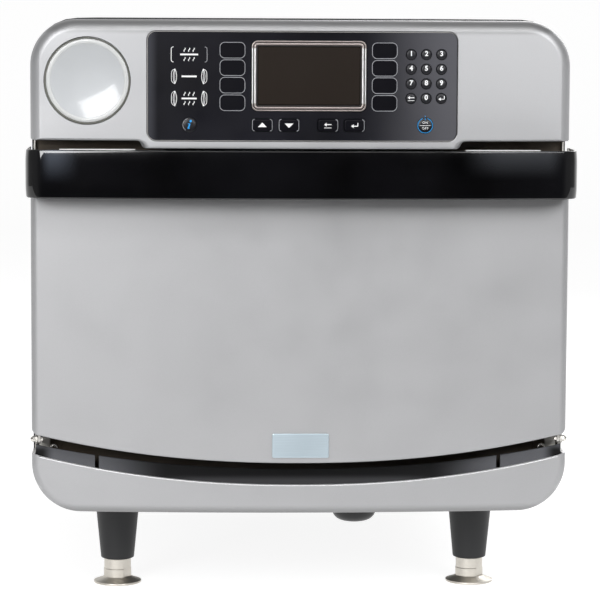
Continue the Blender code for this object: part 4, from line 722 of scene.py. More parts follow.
def noise(tree, vector, scale, detail, stretch=None):
    """Noise over a vector, stretched along its axes if asked."""
    if stretch is not None:
        mapping = tree.nodes.new("ShaderNodeVectorMath")
        mapping.operation = "MULTIPLY"
        tree.links.new(vector, mapping.inputs[0])
        tree.links.new(stretch, mapping.inputs[1])
        vector = mapping.outputs[0]
    node = tree.nodes.new("ShaderNodeTexNoise")
    node.inputs["Detail"].default_value = detail
    tree.links.new(vector, node.inputs["Vector"])
    feed(tree, scale, node.inputs["Scale"])
    return node.outputs["Fac"]


def tinted(tree, colour, factor):
    """Colour multiplied by a factor."""
    node = tree.nodes.new("ShaderNodeVectorMath")
    node.operation = "SCALE"
    tree.links.new(colour, node.inputs[0])
    tree.links.new(factor, node.inputs["Scale"])
    return node.outputs[0]


def mixed(tree, factor, first, second):
    """Two colours mixed by a factor; a colour is a socket or three numbers."""
    node = tree.nodes.new("ShaderNodeMix")
    node.data_type = "RGBA"
    tree.links.new(factor, node.inputs["Factor"])
    entries = [entry for entry in node.inputs if entry.type == "RGBA"]
    for entry, value in zip(entries, (first, second)):
        feed(tree, (*value, 1) if isinstance(value, tuple) else value, entry)
    return [item for item in node.outputs if item.type == "RGBA"][0]


def fine_grain_group():
    """Fine speckle of paint or moulded plastic, with a slow drift of tone across the piece."""
    group, given, result = new_group("fine_grain", [
        ("Vector", "NodeSocketVector", None), ("Colour", "NodeSocketColor", (1, 1, 1, 1)),
        ("Scale", "NodeSocketFloat", 1200.0), ("Contrast", "NodeSocketFloat", 0.05),
        ("Drift Scale", "NodeSocketFloat", 9.0), ("Drift", "NodeSocketFloat", 0.03),
    ], [("Colour", "NodeSocketColor"), ("Height", "NodeSocketFloat")])
    speckle = noise(group, given["Vector"], given["Scale"], 3.0)
    slow = noise(group, given["Vector"], given["Drift Scale"], 2.0)
    fine = maths(group, "MULTIPLY", maths(group, "SUBTRACT", speckle, 0.5), given["Contrast"])
    broad = maths(group, "MULTIPLY", maths(group, "SUBTRACT", slow, 0.5), given["Drift"])
    factor = maths(group, "ADD", maths(group, "MULTIPLY", maths(group, "ADD", fine, broad), 2.0), 1.0)
    group.links.new(tinted(group, given["Colour"], factor), result["Colour"])
    group.links.new(speckle, result["Height"])
    return group


def hand_marks_group():
    """Roughness that wanders between a low and a high value, as on a surface that is wiped and touched."""
    group, given, result = new_group("hand_marks", [
        ("Vector", "NodeSocketVector", None), ("Scale", "NodeSocketFloat", 20.0),
        ("Low", "NodeSocketFloat", 0.2), ("High", "NodeSocketFloat", 0.3),
    ], [("Roughness", "NodeSocketFloat")])
    patches = noise(group, given["Vector"], given["Scale"], 4.0)
    span = maths(group, "SUBTRACT", given["High"], given["Low"])
    spread = maths(group, "MULTIPLY_ADD", maths(group, "SUBTRACT", patches, 0.5), MARKS_CONTRAST, 0.5)
    group.links.new(maths(group, "MULTIPLY_ADD", spread, span, given["Low"]), result["Roughness"])
    return group


def brushed_group():
    """Long fine scratches along one axis."""
    group, given, result = new_group("brushed", [
        ("Vector", "NodeSocketVector", None), ("Colour", "NodeSocketColor", (1, 1, 1, 1)),
        ("Stretch", "NodeSocketVector", (30.0, 3000.0, 3000.0)), ("Contrast", "NodeSocketFloat", 0.1),
    ], [("Colour", "NodeSocketColor"), ("Height", "NodeSocketFloat")])
    lines = noise(group, given["Vector"], 1.0, 3.0, given["Stretch"])
    factor = maths(group, "MULTIPLY_ADD", maths(group, "SUBTRACT", lines, 0.5),
                   maths(group, "MULTIPLY", given["Contrast"], 2.0), 1.0)
    group.links.new(tinted(group, given["Colour"], factor), result["Colour"])
    group.links.new(lines, result["Height"])
    return group


def heat_tint_group():
    """Patchy straw and brown tint of steel that gets hot."""
    group, given, result = new_group("heat_tint", [
        ("Vector", "NodeSocketVector", None), ("Colour", "NodeSocketColor", (1, 1, 1, 1)),
        ("Tint", "NodeSocketColor", (0.3, 0.2, 0.1, 1)), ("Amount", "NodeSocketFloat", 0.4),
        ("Scale", "NodeSocketFloat", 14.0),
    ], [("Colour", "NodeSocketColor")])
    patches = noise(group, given["Vector"], given["Scale"], 5.0)
    mask = group.nodes.new("ShaderNodeMapRange")
    mask.inputs["From Min"].default_value = HEAT_PATCHES[0]
    mask.inputs["From Max"].default_value = HEAT_PATCHES[1]
    group.links.new(patches, mask.inputs["Value"])
    amount = maths(group, "MULTIPLY", mask.outputs["Result"], given["Amount"])
    group.links.new(mixed(group, amount, given["Colour"], given["Tint"]), result["Colour"])
    return group


GROUPS = {
    "grain": fine_grain_group(), "marks": hand_marks_group(), "brushed": brushed_group(),
    "heat": heat_tint_group(),
}


def place_group(tree, key, values):
    """Put a shared group into a material with its own values."""
    node = tree.nodes.new("ShaderNodeGroup")
    node.node_tree = GROUPS[key]
    coordinates = tree.nodes.get("Coordinates")
    tree.links.new(coordinates.outputs["Object"], node.inputs["Vector"])
    for name, value in values.items():
        feed(tree, value, node.inputs[name])
    return node


def ramp(tree, value, span, levels=(0.0, 1.0)):
    """Smooth step of a value over a span, from one level to the other."""
    node = tree.nodes.new("ShaderNodeMapRange")
    node.interpolation_type = "SMOOTHSTEP"
    node.inputs["From Min"].default_value, node.inputs["From Max"].default_value = span
    node.inputs["To Min"].default_value, node.inputs["To Max"].default_value = levels
    tree.links.new(value, node.inputs["Value"])
    return node.outputs["Result"]


def zone(tree, span):
    """Mask from 0 to 1 between two places along an axis.

    X counts on either side of the middle, ACROSS from left to right, and TILT is how far the surface faces
    up or down.
    """
    axis, start, end = span
    split = tree.nodes.new("ShaderNodeSeparateXYZ")
    source = tree.nodes["Coordinates"].outputs["Normal" if axis == "TILT" else "Object"]
    tree.links.new(source, split.inputs[0])
    value = split.outputs[{"TILT": "Z", "ACROSS": "X"}.get(axis, axis)]
    if axis in ("X", "TILT"):
        value = maths(tree, "ABSOLUTE", value)
    return ramp(tree, value, (start, end))


def new_material(name):
    """Material with its shader and the coordinates that its masks and groups read."""
    material = bpy.data.materials.new(name)
    material.use_nodes = True
    tree = material.node_tree
    tree.nodes.new("ShaderNodeTexCoord").name = "Coordinates"
    return material, tree, tree.nodes["Principled BSDF"]


def place_marks(tree, shader, scale, roughness):
    """Feed a shader's roughness with hand marks between a low and a high value."""
    low, high = roughness
    marks = place_group(tree, "marks", {"Scale": scale, "Low": low, "High": high})
    tree.links.new(marks.outputs["Roughness"], shader.inputs["Roughness"])


def place_grain(tree, colour, grain):
    """Put the grain of a colour into a material; grain is (speckle scale, contrast, drift)."""
    scale, contrast, drift = grain
    values = {"Colour": (*colour, 1), "Scale": scale, "Contrast": contrast, "Drift": drift}
    return place_group(tree, "grain", values)


def finish(name, colour, roughness, metallic=0.0, grain=None, brushed=None, heat=None, zones=(),
           marks_scale=MARKS_SCALE, bump=0.0, **shader_values):
    """Material of one finish: grain or brush lines for colour and bump, hand marks for roughness.

    grain is (speckle scale, contrast, drift), brushed is (stretch, contrast), heat is (tint, amount), and
    zones are (colour, spans): another colour where the masks of all the spans are 1.
    """
    material, tree, shader = new_material(name)
    shader.inputs["Metallic"].default_value = metallic
    for socket_name, value in shader_values.items():
        shader.inputs[socket_name.replace("_", " ")].default_value = value
    if brushed is not None:
        stretch, contrast = brushed
        values = {"Colour": (*colour, 1), "Stretch": stretch, "Contrast": contrast}
        surface = place_group(tree, "brushed", values)
    else:
        surface = place_grain(tree, colour, grain)
    tone = surface.outputs["Colour"]
    if heat is not None:
        tint, amount = heat
        hot = place_group(tree, "heat", {"Colour": tone, "Tint": (*tint, 1), "Amount": amount})
        tone = hot.outputs["Colour"]
    for other, spans in zones:
        mask = zone(tree, spans[0])
        for span in spans[1:]:
            mask = maths(tree, "MULTIPLY", mask, zone(tree, span))
        tone = mixed(tree, mask, tone, other)
    tree.links.new(tone, shader.inputs["Base Color"])
    place_marks(tree, shader, marks_scale, roughness)
    if bump:
        relief = tree.nodes.new("ShaderNodeBump")
        relief.inputs["Strength"].default_value = bump
        relief.inputs["Distance"].default_value = BUMP_DISTANCE
        tree.links.new(surface.outputs["Height"], relief.inputs["Height"])
        tree.links.new(relief.outputs["Normal"], shader.inputs["Normal"])
    return material


def painted(name, colour, zones=()):
    """Satin silver paint of the mouldings."""
    return finish(name, colour, (0.45, 0.53), 0.75, PAINT_GRAIN, zones=zones, bump=0.06)


def make_finishes():
    """Every finish of the oven."""
    return {
        "silver": painted("silver_paint", SILVER),
        # Hood finish: its lighter silver is painted light, its darker upper left and top band are painted
        # shade.
        "hood_silver_painted_light_and_shade": painted("hood_paint_with_painted_light_and_shade", HOOD_SILVER_PAINTED_LIGHTER, [HOOD_UPPER_LEFT_PAINTED_SHADE, HOOD_TOP_BAND_PAINTED_SHADE]),
        # Fascia finish: the pale lip line is a painted highlight, the darker foot painted shade.
        "fascia_silver_painted_highlight_and_shade": painted("fascia_paint_with_painted_highlight_and_shade", SILVER, [LIP_TOP_PAINTED_HIGHLIGHT, FASCIA_FOOT_PAINTED_SHADE]),
        "casing": finish("casing_paint", (0.022, 0.022, 0.024), (0.47, 0.52), grain=PLASTIC_GRAIN, bump=0.35,
                         Specular_IOR_Level=0.3),
        # Overlay finish: its lighter left end and right half are painted sheen.
        "overlay": finish("overlay_film_with_painted_sheen", (0.0075, 0.0075, 0.0110), (0.30, 0.46), grain=(900.0, 0.14, 1.20),
                          zones=[OVERLAY_LEFT_END_PAINTED_SHEEN, OVERLAY_RIGHT_HALF_PAINTED_SHEEN], marks_scale=34.0, bump=0.12,
                          Specular_IOR_Level=0.12),
        # Grey edge line of the overlay: painted highlight on its rounded rim, with painted shadow at its
        # right end.
        "overlay_line_painted_highlight_and_shadow": finish("overlay_edge_painted_highlight_and_shadow", (0.36, 0.35, 0.34), (0.4, 0.5), grain=(1500.0, 0.06, 0.05),
                               zones=[OVERLAY_LINE_RIGHT_PAINTED_SHADOW]),
        "key_film": finish("key_film", (0.0085, 0.0085, 0.0120), (0.34, 0.42), grain=(900.0, 0.14, 0.10),
                           marks_scale=60.0, bump=0.05, Specular_IOR_Level=0.4),
        "soft_key": finish("soft_key_film", (0.0055, 0.0055, 0.0080), (0.30, 0.40), grain=(900.0, 0.14, 0.60),
                           marks_scale=60.0, bump=0.05, Specular_IOR_Level=0.08),
        # Grey of the raised lines on the soft keys, at the nav keys' ends, on the info key's left and at the
        # first cooking key's right end: painted highlights.
        "painted_highlight_line": finish("painted_highlight_grey", (0.42, 0.43, 0.46), (0.35, 0.5), grain=(1500.0, 0.08, 0.05)),
        # White of the prints, and of the first cooking key's left bracket, which is a painted highlight.
        "white_print_and_painted_highlight": finish("white_print_and_painted_highlight", (0.94, 0.945, 0.95), (0.45, 0.55), grain=INK_GRAIN),
        "blue_print": finish("blue_print", (0.02, 0.36, 0.86), (0.4, 0.5), grain=INK_GRAIN),
        # Bezel chrome: the brown upper and lower bars are painted reflection.
        "chrome_painted_reflection": finish("bezel_chrome_with_painted_reflection", (0.92, 0.91, 0.905), (0.30, 0.36), 1.0, (1200.0, 0.01, 0.02),
                         zones=[BEZEL_UPPER_BAR_PAINTED_REFLECTION, BEZEL_LOWER_BAR_PAINTED_REFLECTION], marks_scale=90.0),
        "groove": finish("bezel_groove", (0.030, 0.026, 0.026), (0.3, 0.4), grain=(900.0, 0.1, 0.05)),
        "window": finish("display_glass", (0.0165, 0.0115, 0.0085), (0.42, 0.52), grain=(1300.0, 0.16, 0.05),
                         bump=0.10, Specular_IOR_Level=0.12),
        # Handle finish: the lighter patches near its upper edge are painted highlights.
        "gloss_painted_highlights": finish("handle_gloss_with_painted_highlights", (0.0032, 0.0032, 0.0040), (0.10, 0.22), grain=(600.0, 0.10, 1.60),
                        zones=[HANDLE_RIGHT_PAINTED_HIGHLIGHT, HANDLE_LEFT_PAINTED_HIGHLIGHT], marks_scale=26.0,
                        Specular_IOR_Level=0.12, Coat_Weight=1.0, Coat_Roughness=0.035),
        "badge": finish("badge_silver", (0.585, 0.605, 0.635), (0.42, 0.5), 0.15, (2600.0, 0.08, 0.02),
                        bump=0.05, Coat_Weight=1.0, Coat_Roughness=0.08),
        "badge_ring": finish("badge_ring_white", (0.74, 0.75, 0.755), (0.25, 0.35),
                             grain=(1500.0, 0.02, 0.02), Coat_Weight=0.6, Coat_Roughness=0.06),
        "badge_wall": finish("badge_recess", (0.150, 0.152, 0.128), (0.3, 0.4), grain=(1500.0, 0.05, 0.05)),
        # Trough finish: the dark middle is painted shade, the near black ends painted shadow.
        "trough": finish("trough_plastic_with_painted_shade", (0.140, 0.143, 0.156), (0.46, 0.58), grain=(1500.0, 0.16, 0.08),
                         zones=[TROUGH_MIDDLE_PAINTED_SHADE, TROUGH_MIDDLE_FOOT_PAINTED_LIGHT, TROUGH_ENDS_PAINTED_SHADOW], bump=0.25,
                         Specular_IOR_Level=0.25),
        "frame_steel": finish("frame_steel", (0.10, 0.085, 0.07), (0.42, 0.55), 0.85,
                              brushed=(ACROSSWAYS, 0.18), heat=((0.05, 0.035, 0.02), 0.5),
                              zones=[FRAME_FLANGES], bump=0.05),
        "steel": finish("stainless_steel", (0.62, 0.60, 0.57), (0.36, 0.46), 1.0, brushed=(UPRIGHT, 0.10),
                        bump=0.02),
        # Pale steel of the door's top strips: a painted highlight on the door's top flange.
        "top_strip_steel_painted_highlight": finish("pale_steel_painted_highlight", (0.86, 0.86, 0.85), (0.30, 0.40), 0.3, (700.0, 0.04, 0.03)),
        "bright": finish("bright_steel", (0.72, 0.70, 0.66), (0.16, 0.28), 1.0, (700.0, 0.06, 0.04),
                         marks_scale=120.0),
        "foot": finish("foot_steel", (0.70, 0.665, 0.605), (0.40, 0.50), 1.0, brushed=(TURNED, 0.10),
                       marks_scale=90.0, bump=0.04),
        "plate": finish("plate_brushed", (0.58, 0.68, 0.745), (0.34, 0.42), 0.75, brushed=(ACROSSWAYS, 0.10),
                        bump=0.08),
        "cavity": finish("cavity_steel", (0.50, 0.47, 0.42), (0.30, 0.44), 1.0, brushed=(ACROSSWAYS, 0.12),
                         heat=((0.20, 0.12, 0.05), 0.45), bump=0.05),
        "wire": finish("rack_wire", (0.58, 0.56, 0.52), (0.18, 0.32), 1.0, (400.0, 0.10, 0.10),
                       heat=((0.22, 0.13, 0.05), 0.4)),
        "leg": finish("leg_plastic", (0.016, 0.0165, 0.018), (0.44, 0.54), grain=(1400.0, 0.2, 0.06),
                      bump=0.25),
        "knob": finish("knob_plastic", (0.010, 0.010, 0.011), (0.32, 0.42), grain=PLASTIC_GRAIN, bump=0.1),
        "rubber": finish("seal_rubber", (0.05, 0.048, 0.045), (0.66, 0.80), grain=(900.0, 0.18, 0.12),
                         bump=0.3),
        "fan": finish("fan_plastic", (0.018, 0.018, 0.020), (0.40, 0.52), grain=PLASTIC_GRAIN, bump=0.12),
        "board": finish("board_green", (0.02, 0.13, 0.06), (0.30, 0.42), grain=(500.0, 0.25, 0.10),
                        bump=0.15),
        "core": finish("core_steel", (0.19, 0.185, 0.18), (0.42, 0.55), 0.9, brushed=(UPRIGHT, 0.3),
                       bump=0.2),
        "coil": finish("coil_sheath", (0.11, 0.10, 0.095), (0.48, 0.62), 0.8, (500.0, 0.2, 0.15),
                       heat=((0.12, 0.06, 0.03), 0.5), bump=0.15),
    }


def clear_cover(name):
    """Thin clear plastic: mostly see-through, with a faint warm tone and moulding waves."""
    material, tree, shader = new_material(name)
    shader.inputs["Metallic"].default_value = 0.0
    shader.inputs["Alpha"].default_value = COVER_ALPHA
    shader.inputs["IOR"].default_value = COVER_IOR
    tone = place_grain(tree, COVER_TONE, COVER_GRAIN).outputs["Colour"]
    tree.links.new(tone, shader.inputs["Base Color"])
    place_marks(tree, shader, COVER_MARKS_SCALE, COVER_ROUGHNESS)
    return material


LOOK = make_finishes()
LOOK["lens"] = clear_cover("lens_clear")


def piece(name, shape, look, body=OVEN, replaces=(), sharp=SHARP_DEG):
    """Finish a shape as a piece of the oven that rides on a body."""
    item = loose(name, shape)
    mesh = item.data
    mesh.shade_smooth()
    mesh.set_sharp_from_angle(angle=math.radians(sharp))
    mesh.materials.append(LOOK[look])
    even = item.modifiers.new("even_normals", "WEIGHTED_NORMAL")
    even.keep_sharp = True
    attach(item, body)
    if replaces:
        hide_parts(*replaces)
    return item


def middle(box):
    """Middle of a box."""
    return (box[0] + box[1]) / 2


def half_height(box):
    """Half of a box's height, the radius of a round piece."""
    return (box[1].z - box[0].z) / 2


def soft_edged(outline, front, edge):
    """Levels of a plate whose front edge is broken in two steps."""
    step = edge * EDGE_BREAK
    return [(outline, front + edge), (inset(outline, step), front + step), (inset(outline, edge), front)]


def box_outline(box, corner, margin=0.0):
    """Rounded outline, seen from the front, of a box grown by a margin."""
    low, high = box
    return rectangle(low.x - margin, high.x + margin, low.z - margin, high.z + margin, corner + margin)


def hood_outline():
    """Front of the control hood with its deeper tongue."""
    top = HOOD[1].z
    return [
        (-HALF, HOOD_END, HOOD_CORNER), (-TONGUE_TOP_HALF, HOOD_END, TONGUE_FILLET),
        (-TONGUE_FOOT_HALF, HOOD[0].z, TONGUE_FILLET), (TONGUE_FOOT_HALF, HOOD[0].z, TONGUE_FILLET),
        (TONGUE_TOP_HALF, HOOD_END, TONGUE_FILLET), (HALF, HOOD_END, HOOD_CORNER),
        (HALF, top, TOP_CORNER), (-HALF, top, TOP_CORNER),
    ]


def badge_matrix():
    """Place and tilt of the round badge on the bowed face."""
    centre = middle(BADGE)
    slope = math.atan(2 * FRONT_BOW * centre.x / HALF ** 2)
    return Matrix.Translation((centre.x, face(centre.x), centre.z)) @ Matrix.Rotation(slope, 4, "Z")


def badge_placed(shape):
    """Turn a shape made about the Y axis to the badge's place."""
    bmesh.ops.transform(shape, matrix=badge_matrix(), verts=shape.verts)
    return shape


def control_hood():
    """Silver hood with chamfered openings for the overlay and the badge; its silver is made lighter as
    painted light, and darker at the upper left and under the top edge as painted shade.
    """
    outline = hood_outline()
    back = FRONT + MOULDING_DEPTH
    shell = moulding(drawn_from(outline), FRONT, back, HOOD_EDGE, HOOD_FOOT_EDGE)
    room = drawn_from(inset(outline, MOULDING_WALL))
    inside = moulding(room, FRONT + MOULDING_WALL, back + OVERRUN, HOOD_INNER_EDGE, INNER_EDGE)
    shell = carved(shell, inside)
    rim = box_outline(OVERLAY, OVERLAY_CORNER, SEAM)
    flare = inset(rim, -2 * OPENING_CHAMFER)
    opening = bowed(stepped([(flare, FRONT - OPENING_CHAMFER), (rim, FRONT + OPENING_CHAMFER),
                             (rim, FRONT + MOULDING_WALL + OVERRUN)]))
    shell = carved(shell, opening)
    radius = BADGE_RADIUS + SEAM
    deep = MOULDING_WALL + OVERRUN
    hole = [(0, -OPENING_CHAMFER), (radius + 2 * OPENING_CHAMFER, -OPENING_CHAMFER),
            (radius, OPENING_CHAMFER), (radius, deep), (0, deep)]
    shell = carved(shell, badge_placed(turned(hole, (0, 0, 0), "Y")))
    piece("hood_shell", shell, "hood_silver_painted_light_and_shade", replaces=("control_hood",))


def key_outline(name, margin=0.0):
    """Outline of a key, grown by a margin."""
    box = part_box(name)
    centre = middle(box)
    if name in ROUND_KEYS:
        return circle(centre.x, centre.z, half_height(box) + margin, ROUND_SIDES // 2)
    return box_outline(box, NAV_CORNER, margin)


def overlay_panel():
    """Black film panel with soft edges and holes for the keys and the bezel, lighter at its left end and
    right half as painted sheen; its grey edge line is a painted highlight, darker at its right end as painted
    shadow.
    """
    outline = box_outline(OVERLAY, OVERLAY_CORNER)
    near = FRONT - OVERLAY_PROUD
    levels = [(outline, near + OVERLAY_THICKNESS), *soft_edged(outline, near, OVERLAY_ROUND)]
    panel = bowed(stepped(levels))
    low, high = FRONT - FRONT_BOW - OVERRUN, FRONT + OVERLAY_THICKNESS + OVERRUN
    holes = [prism(key_outline(name, KEY_GAP), "Y", low, high) for name in ROUND_KEYS + NAV_KEYS]
    holes.append(prism(box_outline(BEZEL, BEZEL_CORNER, SEAM), "Y", low, high))
    panel = carved(panel, together(holes))
    piece("overlay_panel", panel, "overlay", replaces=("keypad_overlay",))
    # Grey line round the panel's edge: a painted highlight on its rounded rim.
    points = [tuple(point) for point in filleted(inset(outline, OVERLAY_LINE / 2))]
    edge = bowed(ribbon(points, OVERLAY_LINE, near + OVERLAY_ROUND / 2, OVERLAY_ROUND, closed=True))
    piece("overlay_edge_painted_highlight_line", edge, "overlay_line_painted_highlight_and_shadow")


def soft_keys():
    """Eight blank keys beside the display: a glossier field in a raised line coloured grey as a painted
    highlight.
    """
    near = FRONT - OVERLAY_PROUD
    lines, fields = [], []
    for x in SOFT_KEY_COLUMNS:
        for z in SOFT_KEY_ROWS:
            outline = rectangle(x - SOFT_KEY_WIDTH / 2, x + SOFT_KEY_WIDTH / 2, z - SOFT_KEY_HEIGHT / 2,
                                z + SOFT_KEY_HEIGHT / 2, SOFT_KEY_CORNER)
            points = [tuple(point) for point in filleted(outline)]
            lines.append(bowed(ribbon(points, SOFT_KEY_LINE, near, SOFT_KEY_RISE, closed=True)))
            fields.append(bowed(printed(inset(outline, SOFT_KEY_LINE), near)))
    piece("soft_key_painted_highlight_lines", together(lines), "painted_highlight_line")
    piece("soft_key_fields", together(fields), "soft_key")


def wave(centre):
    """Small S-shaped heat mark that leans to the right."""
    x, z = centre
    points = []
    for step in range(HEAT_MARK_STEPS + 1):
        share = step / HEAT_MARK_STEPS - 0.5
        points.append((x + HEAT_MARK_SWING * (math.sin(math.tau * share) / 2 + HEAT_MARK_LEAN * share),
                       z + HEAT_MARK_HEIGHT * share))
    return points


def leaf_line(z, side, bulge, power):
    """One of the curved lines of the leaf beside a cooking key; they meet at its ends."""
    points = []
    edge = ICON_X + side * (ICON_HALF_WIDTH - LEAF_INSET)
    for step in range(LEAF_STEPS + 1):
        share = 2 * step / LEAF_STEPS - 1
        points.append((edge + side * bulge * (1 - abs(share) ** power), z + ICON_HALF_HEIGHT * share))
    return points


def hook_line(z, side):
    """Bracket at one end of the first cooking key: a painted highlight on its embossed end."""
    edge = ICON_X + side * (ICON_HALF_WIDTH - HOOK_BEND)
    bend = arc((edge, z + ICON_HALF_HEIGHT - HOOK_BEND), HOOK_BEND, 90, 90 - 90 * side, HOOK_STEPS)
    return bend + [(x, 2 * z - up) for x, up in bend[::-1]]


def cooking_marks():
    """Plain marks of the three cooking keys: heat marks, fan marks, and both; the brackets at the first key's
    ends are painted highlights.
    """
    near = FRONT - OVERLAY_PROUD
    white, grey = [], []

    def line(target, points, width):
        target.append(bowed(ribbon(points, width, near, PRINT_RISE)))

    for row, z in enumerate(ICON_ROWS):
        hooked = row == 0
        if row in (0, 2):
            for column in (-1, 0, 1):
                for level in (-1, 1):
                    spot = (ICON_X + column * HEAT_MARK_PITCH, z + level * HEAT_MARK_LIFT)
                    line(white, wave(spot), HEAT_MARK_WEIGHT)
        reach = ICON_HALF_WIDTH * (HOOKED_BAR_REACH if hooked else LEAVED_BAR_REACH)
        line(white, [(ICON_X - reach, z), (ICON_X + reach, z)], BAR_WEIGHT)
        if hooked:
            line(white, hook_line(z, -1), HOOK_WEIGHT_LEFT)
            line(grey, hook_line(z, 1), HOOK_WEIGHT_RIGHT)
            continue
        for side in (-1, 1):
            for bulge, power, weight in LEAF_LINES:
                line(white, leaf_line(z, side, bulge, power), weight)
    piece("cooking_key_prints_and_painted_highlight", together(white), "white_print_and_painted_highlight")
    piece("cooking_key_painted_highlight", together(grey), "painted_highlight_line")


def dome(outline, front, proud, shoulder, skirt):
    """Crowned cap over an outline: a skirt behind the panel and a dome in front."""
    base = front + proud
    levels = [(outline, base + skirt), (outline, base)]
    for step in range(1, DOME_STEPS + 1):
        share = 1 - step / DOME_STEPS
        height = proud * (1 - share ** DOME_POWER)
        levels.append((inset(outline, shoulder * (1 - share) * DOME_CLOSING), base - height))
    return stepped(levels)


def round_cap(box):
    """Cap of a round key: a skirt behind the panel and a low dome in front."""
    radius = half_height(box)
    base = box[0].y + KEY_PROUD
    profile = [(0, base + KEY_SKIRT), (radius, base + KEY_SKIRT), (radius, base)]
    for step in range(1, DOME_STEPS):
        share = 1 - step / DOME_STEPS
        profile.append((radius * share, base - KEY_PROUD * (1 - share ** ROUND_DOME_POWER)))
    profile.append((0, box[0].y))
    return turned(profile, (middle(box).x, 0, middle(box).z), "Y", ROUND_SIDES // 2)


def key_caps():
    """Smooth caps of all eighteen keys."""
    for name in ROUND_KEYS + NAV_KEYS:
        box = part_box(name)
        if name in ROUND_KEYS:
            shape, look = round_cap(box), "key_film"
        else:
            shape, look = dome(key_outline(name), box[0].y, KEY_PROUD, NAV_SHOULDER, KEY_SKIRT), "soft_key"
        piece(f"{name}_cap", shape, look, name, (name,), sharp=50)


def key_mark(name, kind, shape, look="white_print_and_painted_highlight"):
    """A mark that rides on a key."""
    piece(f"{name}_{kind}", shape, look, name)


def placed(points, box, size=1.0):
    """Points of a mark, given about a key's middle, at its place and size."""
    centre = middle(box)
    return [(centre.x + across_at * size, centre.z + up * size) for across_at, up in points]


def pointed(points):
    """Points as corners without a fillet."""
    return [(across_at, up, 0) for across_at, up in points]


def key_prints():
    """White digits and plain symbols on the keys."""
    for name in DIGIT_KEYS:
        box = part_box(name)
        centre = middle(box)
        crown = box[0].y - DIGIT_DEPTH * DIGIT_PROUD
        key_mark(name, "digit", lettering(name[-1], DIGIT_HEIGHT, (centre.x, centre.z + DIGIT_LIFT), crown))
    for name, size in (("key_back", 1.0), ("nav_back_key", NAV_MARK_SIZE)):
        key_mark(name, "arrow", back_arrow(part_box(name), size))
    for name, size in (("key_enter", 1.0), ("nav_enter_key", NAV_MARK_SIZE)):
        key_mark(name, "tick", enter_mark(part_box(name), size))
    for name, way in (("nav_up_key", 1), ("nav_down_key", -1)):
        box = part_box(name)
        key_mark(name, "triangle", printed(pointed(placed(TRIANGLE, box, way)), box[0].y))
    info_mark()
    power_mark()
    # The grey lines along the nav keys' ends are painted highlights on their embossed edges.
    for name in NAV_KEYS:
        sides = (-1, 1) if name in ("nav_up_key", "nav_down_key") else (1,)
        key_mark(name, "edge", together([key_edge_highlight_line(name, side) for side in sides]), "painted_highlight_line")


def key_edge_highlight_line(name, side):
    """Thin raised line along one end of a key, round its corners, coloured as a painted highlight."""
    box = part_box(name)
    reach = (box[1].x - box[0].x) / 2 - KEY_LINE_REACH
    points = [tuple(point) for point in filleted(inset(key_outline(name), KEY_LINE_INSET))
              if side * (point.x - middle(box).x) > reach]
    if side < 0:
        half = len(points) // 2
        points = points[half:] + points[:half]
    return ribbon(points, KEY_LINE, box[0].y + KEY_LINE_SINK, KEY_LINE_RISE)


def back_arrow(box, size):
    """Arrow to the left over a short bar."""
    front = box[0].y
    return together([
        printed(pointed(placed(BACK_HEAD, box, size)), front),
        ribbon(placed(BACK_SHAFT, box, size), SHAFT_WEIGHT * size, front, PRINT_RISE),
        ribbon(placed(BACK_BAR, box, size), BACK_BAR_WEIGHT * size, front, PRINT_RISE),
    ])


def enter_mark(box, size):
    """Bent return arrow."""
    front = box[0].y
    bend = placed(ENTER_BEND, box, size)
    return together([
        ribbon(bend[:2], SHAFT_WEIGHT * size, front, PRINT_RISE),
        ribbon(bend[1:], SHAFT_WEIGHT * size, front, PRINT_RISE),
        printed(pointed(placed(ENTER_HEAD, box, size)), front),
    ])


def info_mark():
    """Blue slanted i on the information key, in a grey part ring at its left that is a painted highlight."""
    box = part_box("info_key")
    front = box[0].y
    (dot,) = placed([INFO_DOT], box)
    strokes = [ribbon(placed(points, box), weight, front, DIGIT_DEPTH) for points, weight in INFO_STROKES]
    strokes.append(printed(circle(*dot, INFO_DOT_RADIUS, INFO_DOT_SIDES), front, DIGIT_DEPTH))
    key_mark("info_key", "letter", together(strokes), "blue_print")
    radius = half_height(box) - KEY_LINE_INSET
    highlight_arc = arc((middle(box).x, middle(box).z), radius, *INFO_HIGHLIGHT_ARC)
    edge = ribbon(highlight_arc, KEY_LINE, front + KEY_LINE_SINK, KEY_LINE_RISE)
    key_mark("info_key", "edge", edge, "painted_highlight_line")


def power_mark():
    """ON over OFF in a blue ring that is open at the top with a tick."""
    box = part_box("power_key")
    x, z = middle(box).x, middle(box).z
    front = box[0].y + KEY_PROUD * POWER_RING_SINK
    radius = half_height(box) * POWER_RING_SHARE
    rise = POWER_RING_RISE
    ring = ribbon(arc((x, z), radius, *POWER_RING_TURN), POWER_LINE, front, rise)
    upright = [(x, z + radius * POWER_TICK_FOOT), (x, z + radius)]
    tick = ribbon(upright, POWER_LINE, front - POWER_TICK_LIFT, rise)
    key_mark("power_key", "ring", together([ring, tick]), "blue_print")
    outer = half_height(box) + 2 * KEY_GAP
    upright = [(x, z + outer), (x, z + outer + POWER_TICK)]
    above = ribbon(upright, POWER_LINE, FRONT - OVERLAY_PROUD, PRINT_RISE)
    piece("power_tick_print", bowed(above), "blue_print")
    crown = box[0].y - DIGIT_DEPTH * DIGIT_PROUD
    bar = [(x - POWER_BAR_HALF, z), (x + POWER_BAR_HALF, z)]
    words = [lettering("ON", WORD_HEIGHT, (x, z + WORD_LIFT), crown, WORD_WEIGHT),
             lettering("OFF", WORD_HEIGHT, (x, z - WORD_LIFT), crown, WORD_WEIGHT),
             ribbon(bar, POWER_BAR_WEIGHT, box[0].y - DIGIT_DEPTH / 2, DIGIT_DEPTH)]
    key_mark("power_key", "words", together(words))


